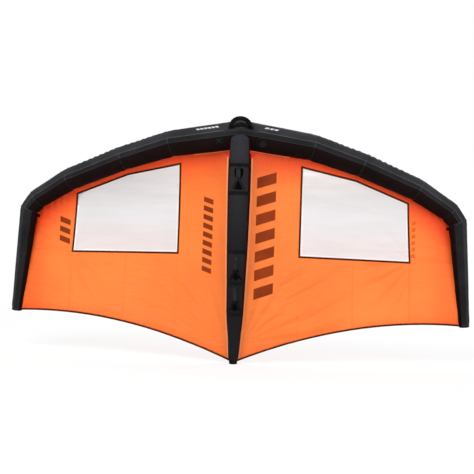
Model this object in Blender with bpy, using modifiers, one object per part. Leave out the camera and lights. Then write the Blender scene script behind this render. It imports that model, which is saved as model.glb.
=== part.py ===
"""Inflatable hand held wing for foiling: a leading edge tube, a centre strut, a canopy with two windows,
a front handle, three strut handles and one inflation valve.

Metres. X runs along the span, +Y points away from the rider, and +Z points from the trailing edge to the
leading edge. The origin is the middle of the strut's flat tail, and X = 0 is the plane of symmetry. The shapes
are worked out with the leading edge's axis on Y = 0, and moved to the tail at the end.
Angles on a tube are clock angles: 0 faces the rider, a quarter turn faces the leading edge's top.
"""

import math

import bmesh
import bpy
from mathutils import Matrix, Vector

# General clearances and counts.
GAP = 0.0003
WELD = 0.0001
OVERRUN = 0.02
EDGE_SIDES_SETTING = 12
STRUT_SIDES_SETTING = 10
GRIP_SIDES_SETTING = 4
TURN_STEPS = 24
SHARP_ANGLE = math.radians(40)

# Whole wing. The shares place the seams of the leading edge tube: distance from the centre plane as a share
# of HALF_SPAN, height of the tube's axis as a share of AXIS_HEIGHT, radius as a share of EDGE_RADIUS.
DIHEDRAL = math.radians(12)
HALF_SPAN = 1.605
AXIS_HEIGHT = 1.540
EDGE_RADIUS = 0.098
SEAM_SPAN_SHARES = (0, 0.301, 0.517, 0.766, 0.919, 0.955, 1)
SEAM_HEIGHT_SHARES = (1, 0.962, 0.8955, 0.7955, 0.701, 0.652, 0.182)
SEAM_RADIUS_SHARES = (1, 0.914, 0.847, 0.794, 0.730, 0.665, 0.380)
SEAM_BACK_SHIFTS = (0, 0, 0, 0, 0.006, -0.006, 0)
PANEL_NAMES = ("edge_center", "edge_mid", "edge_outer", "edge_shoulder", "edge_corner", "tip_tube")
SEAM_GAP = 0.0009
SLEEVE_WALL = 0.0012
BLADDER_WALL = 0.0008
TIP_CAP_HEIGHT = 0.012
TIP_CAP_ROUNDING = 0.006

# Strut. The knots are heights as shares of STRUT_LENGTH, with the radius there as a share of STRUT_RADIUS.
# The axis lies ahead of the leading edge's axis, by one distance at the nose and another at the tail.
STRUT_NOSE_DROP = 0.006
STRUT_LENGTH = AXIS_HEIGHT - STRUT_NOSE_DROP
STRUT_RADIUS = 0.0695
STRUT_KNOT_SHARES = (0.018, 0.046, 0.217, 0.351, 0.488, 0.742, 0.862, 0.971, 1)
STRUT_RADIUS_SHARES = (0.43, 0.50, 0.71, 0.80, 0.90, 1, 1, 0.96, 0.80)
STRUT_STEP_SHARE = 0.075
STRUT_NOSE_LEAD = 0.105
STRUT_TAIL_LEAD = 0.060
STRUT_BOW = 0.045
STRUT_BLADDER_TOP = 0.112
END_CAP_RADIUS = 0.0275
END_CAP_ROUNDING = 0.010
HOSE_LEAD = 0.070
HOSE_RADIUS = 0.011
HOSE_BORE = 0.008
HOSE_REACH = 0.016

# Canopy. The trailing edge is an arch over the straight line from its root to its tip.
CLOTH = 0.0012
TRAILING_ROOT_HEIGHT = 0.003
TRAILING_TIP_HEIGHT = 0.271
TRAILING_ARCH = 0.098
HEM_WIDTH = 0.012
HEM_THICKNESS = 0.0024
BILLOW = 0.055
EDGE_SETBACK = 0.050
SETBACK_SPAN_SHARE = 0.12
CANOPY_ROOT = 0.0008
CANOPY_CLEARANCE = 0.0022
CANOPY_COLUMNS = 18
CANOPY_ROWS = 12
ROOT_TAPE_HALF_WIDTH = 0.018
TAPE = 0.0014
WINDOW_SPAN_SHARES = (0.262, 0.499, 0.734, 0.751, 0.2635)
WINDOW_HEIGHT_SHARES = (0.874, 0.8245, 0.7325, 0.4625, 0.472)
WINDOW_TAPE_WIDTH = 0.011
ROOT_PATCH_REACH = 0.060
ROOT_PATCH_DROP = 0.062
CORNER_TAB_WIDTH = 0.034
CORNER_TAB_HEIGHT = 0.026

# Front handle, on the leading edge. Its arch swings about a line through its two feet.
FRONT_CLOCK = math.radians(27)
FRONT_LEAN = math.radians(45)
FRONT_HALF_WIDTH = 0.064
FRONT_HEIGHT = 0.067
FRONT_GRIP_RADIUS = 0.012
FRONT_ARCH_STEPS = 12
FRONT_END_STEPS = 3
FRONT_END_TURN = math.radians(80)
FRONT_TAB_WIDTH = 0.040
FRONT_TAB_LOW = math.radians(21)
FRONT_TAB_HIGH = math.radians(38)
FRONT_PATCH_HALF_WIDTH = 0.112
FRONT_PATCH_LOW = math.radians(8)
FRONT_PATCH_HIGH = math.radians(20)
PATCH = 0.002

# Strut handles, each between two bands. Band heights are shares of STRUT_LENGTH, from nose to tail.
BAND_HEIGHT_SHARES = (0.862, 0.742, 0.488, 0.351, 0.217)
BAND_WIDTH = 0.022
HANDLE_BANDS = ((0, 1), (2, 3), (3, 4))
WRAP_BACK_SHARE = 0.30
GRIP_RADIUS = 0.015
GRIP_END_RADIUS = 0.0115
GRIP_STAND_OFF = 0.056
GRIP_END_INSET = 0.004
GRIP_TOP_DROP = 0.018
YOKE_HEIGHT = 0.080
YOKE_FOOT_RISE = 0.014
YOKE_FOOT_INNER = 0.026
YOKE_FOOT_OUTER = 0.048
YOKE_HEAD_HALF_WIDTH = 0.013
YOKE_HEAD_HEIGHT = 0.007
YOKE_ROWS = 6
STRAP_HALF_WIDTH = 0.015
STRAP_FOOT_INSET = 0.002
STRAP_ROWS = 4
WEBBING = 0.0024
WEBBING_CLEARANCE = 0.0007
WEBBING_COLUMNS = 3

# Inflation valve and webbing patch, on either side of the strut.
VALVE_REACH = 0.135
VALVE_CLOCK = math.radians(-26)
VALVE_PATCH_HALF_WIDTH = 0.038
VALVE_PATCH_HALF_ANGLE = math.radians(21)
VALVE_NECK_RADIUS = 0.0215
VALVE_BORE_RADIUS = 0.016
VALVE_DEPTH = 0.010
VALVE_RIM_RADIUS = 0.0275
VALVE_RIM_LOW = 0.004
VALVE_RIM_HIGH = 0.007
COLLAR_RADIUS = 0.0245
COLLAR_BORE_RADIUS = 0.0115
COLLAR_HIGH = 0.0155
COLLAR_DEPTH = 0.003
CAP_RADIUS = 0.0215
CAP_THICKNESS = 0.0035
CAP_PLUG_CLEARANCE = 0.0007
CAP_PLUG_DEPTH = 0.003
CAP_HINGE_REACH = 0.0252
CAP_HINGE_HEIGHT = 0.0183
CAP_BARREL_RADIUS = 0.0022
CAP_BARREL_LENGTH = 0.009
CAP_TONGUE_WIDTH = 0.008
CAP_TONGUE_THICKNESS = 0.0024
CAP_TONGUE_START = 0.018
EAR_WIDTH = 0.003
EAR_START = 0.0222
EAR_END = 0.0280
EAR_LOW = 0.009
EAR_HEAD = 0.0015
PIN_RADIUS = 0.0009
STITCH_PATCH_REACH = 0.130
STITCH_PATCH_HALF_WIDTH = 0.027
STITCH_PATCH_CLOCK = math.radians(-22)
STITCH_PATCH_HALF_ANGLE = math.radians(14)

PARTS = None
CUTTERS = None


def clear_scene():
    """Removes what the scene holds and makes the two collections."""
    global PARTS, CUTTERS
    for thing in list(bpy.data.objects):
        bpy.data.objects.remove(thing)
    PARTS = bpy.data.collections.new("wingfoil_wing")
    CUTTERS = bpy.data.collections.new("wingfoil_wing_cutters")
    bpy.context.scene.collection.children.link(PARTS)
    bpy.context.scene.collection.children.link(CUTTERS)


def finish(name, color, roughness, alpha=1):
    """A plain Principled material."""
    material = bpy.data.materials.new(name)
    material.use_nodes = True
    shader = material.node_tree.nodes["Principled BSDF"]
    shader.inputs["Base Color"].default_value = (*color, 1)
    shader.inputs["Roughness"].default_value = roughness
    shader.inputs["Metallic"].default_value = 0
    shader.inputs["Alpha"].default_value = alpha
    return material


# Placing and cutting.


def place(name, work, material, pivot=Vector(), collection=None):
    """Makes an object from a bmesh, with its origin at the pivot."""
    bmesh.ops.translate(work, verts=work.verts, vec=-pivot)
    mesh = bpy.data.meshes.new(name)
    work.to_mesh(mesh)
    work.free()
    if material:
        mesh.materials.append(material)
    mesh.shade_smooth()
    mesh.set_sharp_from_angle(angle=SHARP_ANGLE)
    thing = bpy.data.objects.new(name, mesh)
    thing.location = pivot
    (collection or PARTS).objects.link(thing)
    return thing


def cutter(name, work):
    """A hidden object that only cuts or joins others."""
    thing = place(name, work, None, collection=CUTTERS)
    thing.hide_render = True
    thing.display_type = "WIRE"
    return thing


def combine(thing, tool, operation):
    """Adds a Boolean modifier."""
    change = thing.modifiers.new(operation.title(), "BOOLEAN")
    change.operation = operation
    change.object = tool
    change.solver = "EXACT"


def thicken(thing, thickness, offset):
    """Gives an open sheet its thickness: offset -1 is inwards, 1 outwards and 0 to both sides."""
    change = thing.modifiers.new("Solidify", "SOLIDIFY")
    change.thickness = thickness
    change.offset = offset
    change.use_even_offset = True


def mirror_across_centre(thing):
    """Completes a half that is open at the centre plane."""
    change = thing.modifiers.new("Mirror", "MIRROR")
    change.use_axis[0] = True
    change.use_mirror_merge = True
    change.merge_threshold = WELD


def keep_side(work, point, normal):
    """Cuts an open sheet at a plane and keeps the side that the normal points to."""
    geometry = work.verts[:] + work.edges[:] + work.faces[:]
    bmesh.ops.bisect_plane(
        work, geom=geometry, dist=WELD / 10, plane_co=point, plane_no=normal, clear_inner=True
    )


def flip(work):
    """Turns a right hand shape into the left hand one."""
    bmesh.ops.scale(work, verts=work.verts, vec=(-1, 1, 1))
    bmesh.ops.reverse_faces(work, faces=work.faces)
    return work


def sided(work, side):
    """The same shape on the side that is asked for."""
    return flip(work) if side == "left" else work


def interpolate(value, places, values):
    """Straight line interpolation in a table, held at its ends."""
    if value <= places[0]:
        return values[0]
    for low, high, first, last in zip(places, places[1:], values, values[1:]):
        if value <= high:
            return first + (last - first) * (value - low) / (high - low)
    return values[-1]


def smooth(share):
    """Smooth rise from 0 to 1."""
    share = min(max(share, 0), 1)
    return share * share * (3 - 2 * share)


# Basic shapes.


def tube(points, radii, sides_setting, capped):
    """Tube through the points with a radius at each, read from a bevelled curve."""
    curve = bpy.data.curves.new("tube", "CURVE")
    curve.dimensions = "3D"
    curve.bevel_depth = 1
    curve.bevel_resolution = sides_setting
    curve.use_fill_caps = capped
    spline = curve.splines.new("POLY")
    spline.points.add(len(points) - 1)
    for knot, point, radius in zip(spline.points, points, radii):
        knot.co = (*point, 1)
        knot.radius = radius
    holder = bpy.data.objects.new("tube", curve)
    bpy.context.scene.collection.objects.link(holder)
    depsgraph = bpy.context.evaluated_depsgraph_get()
    mesh = bpy.data.meshes.new_from_object(holder.evaluated_get(depsgraph))
    bpy.data.objects.remove(holder)
    bpy.data.curves.remove(curve)
    work = bmesh.new()
    work.from_mesh(mesh)
    bpy.data.meshes.remove(mesh)
    bmesh.ops.remove_doubles(work, verts=work.verts, dist=WELD)
    return work


def prism(outline, low, high):
    """Outline of (x, z) points, swept along Y between two places."""
    work = bmesh.new()
    corners = [work.verts.new((x, low, z)) for x, z in outline]
    base = work.faces.new(corners)
    swept = bmesh.ops.extrude_face_region(work, geom=[base])
    moved = [item for item in swept["geom"] if isinstance(item, bmesh.types.BMVert)]
    bmesh.ops.translate(work, verts=moved, vec=(0, high - low, 0))
    bmesh.ops.recalc_face_normals(work, faces=work.faces)
    return work


def block(low, high):
    """Box between two corners."""
    low = Vector(low)
    high = Vector(high)
    work = bmesh.new()
    bmesh.ops.create_cube(work, size=1)
    bmesh.ops.scale(work, verts=work.verts, vec=high - low)
    bmesh.ops.translate(work, verts=work.verts, vec=(low + high) / 2)
    return work


def rod(start, end, radius, segments):
    """Closed cylinder between two points."""
    start = Vector(start)
    end = Vector(end)
    along = end - start
    work = bmesh.new()
    bmesh.ops.create_cone(
        work, cap_ends=True, segments=segments, radius1=radius, radius2=radius, depth=along.length
    )
    turn = along.to_track_quat("Z", "Y").to_matrix().to_4x4()
    bmesh.ops.transform(work, matrix=Matrix.Translation((start + end) / 2) @ turn, verts=work.verts)
    return work


def turned(name, profile, material, closed):
    """Turned shape about Z. The profile's (radius, height) points run down its outer side."""
    work = bmesh.new()
    corners = [work.verts.new((radius, 0, height)) for radius, height in profile]
    for start, end in zip(corners, corners[1:]):
        work.edges.new((start, end))
    if closed:
        work.edges.new((corners[-1], corners[0]))
    thing = place(name, work, material)
    change = thing.modifiers.new("Screw", "SCREW")
    change.steps = TURN_STEPS
    change.render_steps = TURN_STEPS
    change.use_merge_vertices = True
    change.merge_threshold = WELD
    change.use_normal_calculate = False
    return thing


def sheet(rows):
    """Sheet through rows of points."""
    work = bmesh.new()
    rows = [[work.verts.new(point) for point in row] for row in rows]
    for row, following in zip(rows, rows[1:]):
        for index in range(len(row) - 1):
            work.faces.new((row[index], row[index + 1], following[index + 1], following[index]))
    return work


def inset_outline(outline, inset):
    """Moves each side of a convex (x, z) outline inwards. A negative inset grows it."""
    centre = Vector((sum(x for x, z in outline), sum(z for x, z in outline))) / len(outline)
    lines = []
    for start, end in zip(outline, outline[1:] + outline[:1]):
        start = Vector(start)
        along = (Vector(end) - start).normalized()
        inwards = Vector((-along.y, along.x))
        if inwards.dot(centre - start) < 0:
            inwards = -inwards
        lines.append((start + inwards * inset, along))
    corners = []
    for (first, along), (second, other) in zip(lines[-1:] + lines[:-1], lines):
        spread = along.x * other.y - along.y * other.x
        step = second - first
        reach = (step.x * other.y - step.y * other.x) / spread
        corners.append(tuple(first + along * reach))
    return corners


# Lines that the pieces follow.


def seam_points():
    """Axis points of the leading edge and tip tube, from the centre plane to the right tip."""
    return [
        Vector((span * HALF_SPAN, span * HALF_SPAN * math.tan(DIHEDRAL) + back, height * AXIS_HEIGHT))
        for span, height, back in zip(SEAM_SPAN_SHARES, SEAM_HEIGHT_SHARES, SEAM_BACK_SHIFTS)
    ]


def seam_radii(offset):
    """Tube radius at each seam, plus an offset."""
    return [share * EDGE_RADIUS + offset for share in SEAM_RADIUS_SHARES]


def mirrored(point):
    """The point on the other side of the centre plane."""
    return Vector((-point.x, point.y, point.z))


def edge_tube(offset, capped=False, extension=0):
    """Right half of the leading edge tube, with the left centre panel, at an offset from its skin."""
    points = seam_points()
    radii = seam_radii(offset)
    if extension:
        along = (points[-1] - points[-2]).normalized()
        points.append(points[-1] + along * extension)
        radii.append(radii[-1])
    return tube([mirrored(points[1])] + points, [radii[1]] + radii, EDGE_SIDES_SETTING, capped)


def edge_axis_height(span):
    """Height of the leading edge's axis at a distance from the centre plane."""
    points = seam_points()[:-1]
    return interpolate(span, [p.x for p in points], [p.z for p in points])


def edge_frame(span, clock):
    """On the right centre panel: a point on the axis, the axis direction and the outward direction."""
    start, end = seam_points()[:2]
    along = (end - start).normalized()
    forward = Vector((0, -1, 0))
    forward = (forward - along * forward.dot(along)).normalized()
    upward = forward.cross(along)
    outward = forward * math.cos(clock) + upward * math.sin(clock)
    return start + along * (span / along.x), along, outward


def edge_reach(span, clock):
    """From the axis to the skin of the right centre panel. The ring at the centre seam stands square to X, so
    the tube is a little flatter there than at the next seam."""
    point, along, outward = edge_frame(span, clock)
    lean = outward.x / along.x
    flat = EDGE_RADIUS / math.sqrt(1 + lean * lean)
    return flat + (seam_radii(0)[1] - flat) * span / seam_points()[1].x


def trailing_height(span):
    """Height of the trailing edge at a distance from the centre plane."""
    share = span / HALF_SPAN
    chord = TRAILING_ROOT_HEIGHT + (TRAILING_TIP_HEIGHT - TRAILING_ROOT_HEIGHT) * share
    return chord + TRAILING_ARCH * 4 * share * (1 - share)


def strut_line(height):
    """Y of the strut's smooth centre line: straight from nose to tail, bowed away from the rider."""
    share = 1 - height / STRUT_LENGTH
    lead = STRUT_NOSE_LEAD + (STRUT_TAIL_LEAD - STRUT_NOSE_LEAD) * share
    return STRUT_BOW * 4 * share * (1 - share) - lead


def strut_axis(height):
    """Y of the strut's axis at a height, on the straight runs between its rings."""
    heights = strut_heights(STRUT_KNOT_SHARES[0], 1)
    return interpolate(height, heights, [strut_line(ring) for ring in heights])


def strut_radius(height):
    """Radius of the strut's skin at a height."""
    return STRUT_RADIUS * interpolate(height / STRUT_LENGTH, STRUT_KNOT_SHARES, STRUT_RADIUS_SHARES)


def strut_heights(low_share, high_share):
    """Heights of the strut's rings between two shares of its length."""
    knots = [low_share] + [k for k in STRUT_KNOT_SHARES if low_share < k < high_share] + [high_share]
    heights = []
    for low, high in zip(knots, knots[1:]):
        steps = max(1, round((high - low) / STRUT_STEP_SHARE))
        heights += [STRUT_LENGTH * (low + (high - low) * step / steps) for step in range(steps)]
    return heights + [STRUT_LENGTH * high_share]


def strut_tube(offset, low_share, high_share, capped=False):
    """Tube along the strut, at an offset from its skin."""
    heights = strut_heights(low_share, high_share)
    points = [Vector((0, strut_axis(height), height)) for height in heights]
    radii = [strut_radius(height) + offset for height in heights]
    return tube(points, radii, STRUT_SIDES_SETTING, capped)


def strut_front(span, height, offset):
    """Point on the rider's side of the strut, at an offset from its skin."""
    radius = strut_radius(height) + offset
    return Vector((span, strut_axis(height) - math.sqrt(radius * radius - span * span), height))


def strut_row(inner, outer, height, offset):
    """Row of points across the rider's side of the strut, between two distances from the centre plane."""
    step = (outer - inner) / WEBBING_COLUMNS
    return [strut_front(inner + step * column, height, offset) for column in range(WEBBING_COLUMNS + 1)]


def canopy_depth(span, height):
    """Y of the canopy's middle surface: the strut's back, carried outwards, set back and billowed."""
    top = edge_axis_height(span)
    fall = (top - height) / (top - trailing_height(span))
    root_height = AXIS_HEIGHT - fall * (AXIS_HEIGHT - TRAILING_ROOT_HEIGHT)
    full_height = STRUT_KNOT_SHARES[-3] * STRUT_LENGTH
    back = strut_axis(root_height) + strut_radius(min(root_height, full_height)) + CANOPY_CLEARANCE
    reach = span / HALF_SPAN
    setback = EDGE_SETBACK * smooth(reach / SETBACK_SPAN_SHARE) * (1 - fall) ** 2
    billow = BILLOW * math.sin(math.pi * reach) * math.sin(math.pi * min(max(fall, 0), 1))
    return span * math.tan(DIHEDRAL) + back * (1 - reach * reach) + setback + billow


def canopy_point(across, down, offset):
    """Point on the right canopy at an offset in Y. Across runs from the root to the tube's corner and tip, and
    down runs from the leading edge's axis to the hem, as shares of a four sided patch with curved sides."""
    corner, tip = seam_points()[-2:]
    root_top = Vector((CANOPY_ROOT, AXIS_HEIGHT))
    root_low = Vector((CANOPY_ROOT, trailing_height(CANOPY_ROOT) + HEM_WIDTH))
    tip_top = Vector((corner.x, corner.z))
    tip_low = Vector((tip.x, trailing_height(tip.x) + HEM_WIDTH))
    top_span = root_top.x + (tip_top.x - root_top.x) * across
    low_span = root_low.x + (tip_low.x - root_low.x) * across
    top_side = Vector((top_span, edge_axis_height(top_span)))
    low_side = Vector((low_span, trailing_height(low_span) + HEM_WIDTH))
    top_chord = root_top.lerp(tip_top, across)
    low_chord = root_low.lerp(tip_low, across)
    flat = top_chord.lerp(low_chord, down) + (top_side - top_chord) * (1 - down) + (low_side - low_chord) * down
    return Vector((flat.x, canopy_depth(flat.x, flat.y) + offset, flat.y))


def triangle_grid(grid):
    """Sheet of triangles through rows of points, all split along the same diagonal."""
    work = bmesh.new()
    rows = [[work.verts.new(point) for point in row] for row in grid]
    for upper, lower in zip(rows, rows[1:]):
        for index in range(len(upper) - 1):
            work.faces.new((upper[index], lower[index], lower[index + 1]))
            work.faces.new((upper[index], lower[index + 1], upper[index + 1]))
    return work


def canopy_columns():
    """Column places across the canopy as shares, with a narrow first column for the root tape."""
    first = 2 * ROOT_TAPE_HALF_WIDTH / HALF_SPAN
    return [0] + [first + (1 - first) * column / CANOPY_COLUMNS for column in range(CANOPY_COLUMNS + 1)]


def canopy_sheet(offset):
    """The right canopy's sheet, reaching in to the axes of the tubes."""
    rows = [row / CANOPY_ROWS for row in range(CANOPY_ROWS + 1)]
    return triangle_grid([[canopy_point(across, down, offset) for across in canopy_columns()] for down in rows])


def window_outline():
    """The window's (x, z) corners on the right side."""
    return [
        (span * HALF_SPAN, height * AXIS_HEIGHT)
        for span, height in zip(WINDOW_SPAN_SHARES, WINDOW_HEIGHT_SHARES)
    ]


def canopy_prism(name, outline, side):
    """Cutter that runs through the canopy."""
    low = -STRUT_NOSE_LEAD - OVERRUN
    high = HALF_SPAN * math.tan(DIHEDRAL) + BILLOW + OVERRUN
    return cutter(f"{name}_{side}", sided(prism(outline, low, high), side))


# Leading edge, bladders and strut.


def valve_matrix():
    """Frame of the valve: Z along its axis, outwards, and its origin on the skin."""
    point, along, outward = edge_frame(VALVE_REACH, VALVE_CLOCK)
    side = along.cross(outward)
    frame = Matrix((along, -side, outward)).transposed().to_4x4()
    frame.translation = point + outward * edge_reach(VALVE_REACH, VALVE_CLOCK)
    return frame


def valve_hole(name, radius):
    """Cutter for the valve's neck, through skin and bladder."""
    work = rod((0, 0, -VALVE_DEPTH - OVERRUN), (0, 0, OVERRUN), radius, TURN_STEPS)
    bmesh.ops.transform(work, matrix=valve_matrix(), verts=work.verts)
    return cutter(name, work)


def hose_height():
    """Lower and upper end of the crossover hose."""
    low = STRUT_LENGTH - STRUT_BLADDER_TOP - HOSE_REACH
    high = AXIS_HEIGHT - math.sqrt(EDGE_RADIUS ** 2 - HOSE_LEAD ** 2) + HOSE_REACH
    return low, high


def hose_hole(name):
    """Cutter for the crossover hose."""
    low, high = hose_height()
    work = rod((0, -HOSE_LEAD, low - OVERRUN), (0, -HOSE_LEAD, high + OVERRUN), HOSE_RADIUS + GAP, TURN_STEPS)
    return cutter(name, work)


def edge_sleeves(side, black):
    """The sewn panels of the leading edge tube and the tip tube, each mitred to the next."""
    points = seam_points()
    directions = [(end - start).normalized() for start, end in zip(points, points[1:])]
    normals = [Vector((1, 0, 0))]
    normals += [(a + b).normalized() for a, b in zip(directions, directions[1:])] + [directions[-1]]
    sleeves = []
    for index, name in enumerate(PANEL_NAMES):
        work = edge_tube(0)
        keep_side(work, points[index] + normals[index] * SEAM_GAP / 2, normals[index])
        keep_side(work, points[index + 1] - normals[index + 1] * SEAM_GAP / 2, -normals[index + 1])
        sleeve = place(f"{name}_{side}", sided(work, side), black)
        thicken(sleeve, SLEEVE_WALL, -1)
        sleeves.append(sleeve)
    return sleeves


def tip_cap(side, black):
    """Closed end of the tip tube: a plate with a rounded rim."""
    points = seam_points()
    along = (points[-1] - points[-2]).normalized()
    radius = seam_radii(0)[-1]
    profile = [(0, 0), (radius, 0)]
    profile += [
        (
            radius - TIP_CAP_ROUNDING * (1 - math.cos(angle)),
            -TIP_CAP_HEIGHT + TIP_CAP_ROUNDING * (1 - math.sin(angle)),
        )
        for angle in (0, math.pi / 6, math.pi / 3, math.pi / 2)
    ]
    profile.append((0, -TIP_CAP_HEIGHT))
    cap = turned(f"tip_cap_{side}", profile, black, closed=False)
    spot = points[-1] + along * GAP
    if side == "left":
        spot = mirrored(spot)
        along = mirrored(along)
    cap.matrix_world = Matrix.Translation(spot) @ (-along).to_track_quat("Z", "Y").to_matrix().to_4x4()


def edge_bladder(clear):
    """The inner tube of the leading edge, in one piece from tip to tip, open at the valve and the hose."""
    work = edge_tube(-SLEEVE_WALL - GAP, capped=True)
    keep_side(work, Vector(), Vector((1, 0, 0)))
    bladder = place("edge_bladder", work, clear)
    mirror_across_centre(bladder)
    thicken(bladder, BLADDER_WALL, -1)
    combine(bladder, valve_hole("valve_bladder_hole", VALVE_NECK_RADIUS + GAP), "DIFFERENCE")
    combine(bladder, hose_hole("hose_edge_hole"), "DIFFERENCE")


def strut_pieces(black, clear, rubber):
    """Strut sleeve, its bladder, the hose that feeds it and the tail's end cap."""
    edge = cutter("strut_saddle", edge_tube(GAP, capped=True))
    work = strut_tube(0, STRUT_KNOT_SHARES[0], 1, capped=True)
    lowest = STRUT_LENGTH * STRUT_KNOT_SHARES[0]
    keep_side(work, Vector((0, 0, lowest + GAP)), Vector((0, 0, 1)))
    sleeve = place("strut_sleeve", work, black)
    thicken(sleeve, SLEEVE_WALL, -1)
    combine(sleeve, edge, "DIFFERENCE")

    top_share = 1 - STRUT_BLADDER_TOP / STRUT_LENGTH
    low_share = STRUT_KNOT_SHARES[1]
    bladder = place("strut_bladder", strut_tube(-SLEEVE_WALL - GAP, low_share, top_share, True), clear)
    thicken(bladder, BLADDER_WALL, -1)
    combine(bladder, hose_hole("hose_strut_hole"), "DIFFERENCE")

    low, high = hose_height()
    profile = [(HOSE_RADIUS, high), (HOSE_RADIUS, low), (HOSE_BORE, low), (HOSE_BORE, high)]
    hose = turned("crossover_hose", profile, clear, closed=True)
    hose.location = (0, -HOSE_LEAD, 0)

    profile = [(0, lowest), (END_CAP_RADIUS, lowest)]
    profile += [
        (
            END_CAP_RADIUS - END_CAP_ROUNDING * (1 - math.cos(angle)),
            END_CAP_ROUNDING * (1 - math.sin(angle)),
        )
        for angle in (0, math.pi / 6, math.pi / 3, math.pi / 2)
    ]
    profile.append((0, 0))
    cap = turned("strut_end_cap", profile, rubber, closed=False)
    cap.location = (0, strut_axis(lowest), 0)


# Canopy.


def canopy_pieces(side, orange, film, brown, red, black, edge):
    """Canopy half with its window, window tape, hem, root patch and corner tab."""
    outline = window_outline()
    half_tape = WINDOW_TAPE_WIDTH / 2
    front = -(CLOTH / 2 + GAP + TAPE / 2)

    canopy = place(f"canopy_{side}", sided(canopy_sheet(0), side), orange)
    thicken(canopy, CLOTH, 0)
    combine(canopy, edge, "DIFFERENCE")
    combine(canopy, canopy_prism("window_opening", outline, side), "DIFFERENCE")

    window = place(f"window_{side}", sided(canopy_sheet(0), side), film)
    thicken(window, CLOTH, 0)
    combine(window, canopy_prism("window_edge", inset_outline(outline, GAP), side), "INTERSECT")

    tape = place(f"window_tape_{side}", sided(canopy_sheet(front), side), brown)
    thicken(tape, TAPE, 0)
    combine(tape, canopy_prism("tape_outer", inset_outline(outline, -half_tape), side), "INTERSECT")
    combine(tape, canopy_prism("tape_inner", inset_outline(outline, half_tape), side), "DIFFERENCE")

    spans = [canopy_point(across, 1, 0).x for across in canopy_columns()]
    grid = [
        [Vector((x, canopy_depth(x, trailing_height(x) + rise), trailing_height(x) + rise)) for x in spans]
        for rise in (HEM_WIDTH - GAP, 0)
    ]
    hem = place(f"hem_{side}", sided(triangle_grid(grid), side), brown)
    thicken(hem, HEM_THICKNESS, 0)
    combine(hem, edge, "DIFFERENCE")

    low = AXIS_HEIGHT - EDGE_RADIUS - ROOT_PATCH_DROP
    start = STRUT_RADIUS
    triangle = [(start, AXIS_HEIGHT), (start, low), (start + ROOT_PATCH_REACH, AXIS_HEIGHT - EDGE_RADIUS)]
    triangle.append((start + ROOT_PATCH_REACH, AXIS_HEIGHT))
    patch = place(f"root_patch_{side}", sided(canopy_sheet(front), side), red)
    thicken(patch, TAPE, 0)
    combine(patch, canopy_prism("root_patch_outline", triangle, side), "INTERSECT")
    combine(patch, edge, "DIFFERENCE")

    corner = seam_points()[-2]
    radius = seam_radii(0)[-2]
    x = corner.x - radius
    z = corner.z - radius / 2
    low = z - CORNER_TAB_HEIGHT
    square = [(x - CORNER_TAB_WIDTH, z), (x, z), (x, low), (x - CORNER_TAB_WIDTH, low)]
    tab = place(f"corner_tab_{side}", sided(canopy_sheet(front), side), black)
    thicken(tab, TAPE, 0)
    combine(tab, canopy_prism("corner_tab_outline", square, side), "INTERSECT")
    combine(tab, edge, "DIFFERENCE")


def root_tape(black):
    """Seam tape behind the joint of the two canopy halves, over the canopy's first column."""
    offset = CLOTH + GAP + TAPE / 2
    near, far = canopy_columns()[:2]
    rows = []
    for row in range(1, CANOPY_ROWS + 1):
        start = canopy_point(near, row / CANOPY_ROWS, offset)
        end = canopy_point(far, row / CANOPY_ROWS, offset)
        slope = (end - start) / (end.x - start.x)
        rows.append((start - slope * start.x, start + slope * (ROOT_TAPE_HALF_WIDTH - start.x)))
    tape = place("root_tape", sheet(rows), black)
    mirror_across_centre(tape)
    thicken(tape, TAPE, 0)


# Patches that lie on the leading edge.


def edge_skin(span_low, span_high, clock_low, clock_high, offset):
    """Piece of the right centre panel's skin between two spans and two clock angles."""
    work = edge_tube(offset)
    point, along, outward = edge_frame(span_low, (clock_low + clock_high) / 2)
    keep_side(work, point, along if span_low else Vector((1, 0, 0)))
    keep_side(work, edge_frame(span_high, 0)[0], -along)
    keep_side(work, point, edge_frame(span_low, clock_low + math.pi / 2)[2])
    keep_side(work, point, edge_frame(span_low, clock_high - math.pi / 2)[2])
    return work


def front_patch(black):
    """Reinforcement across the leading edge, under the front handle."""
    skin = edge_skin(0, FRONT_PATCH_HALF_WIDTH, FRONT_PATCH_LOW, FRONT_PATCH_HIGH, GAP)
    patch = place("front_patch", skin, black)
    mirror_across_centre(patch)
    thicken(patch, PATCH, 1)


def front_foot():
    """Centre of the front handle's right foot, and its place along the tube's axis."""
    outward = edge_frame(0, FRONT_CLOCK)[2]
    span = FRONT_HALF_WIDTH - outward.x * (EDGE_RADIUS + FRONT_GRIP_RADIUS)
    distance = edge_reach(span, FRONT_CLOCK) + GAP + PATCH + GAP + FRONT_GRIP_RADIUS
    return edge_frame(span, FRONT_CLOCK)[0] + outward * distance, span


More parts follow.
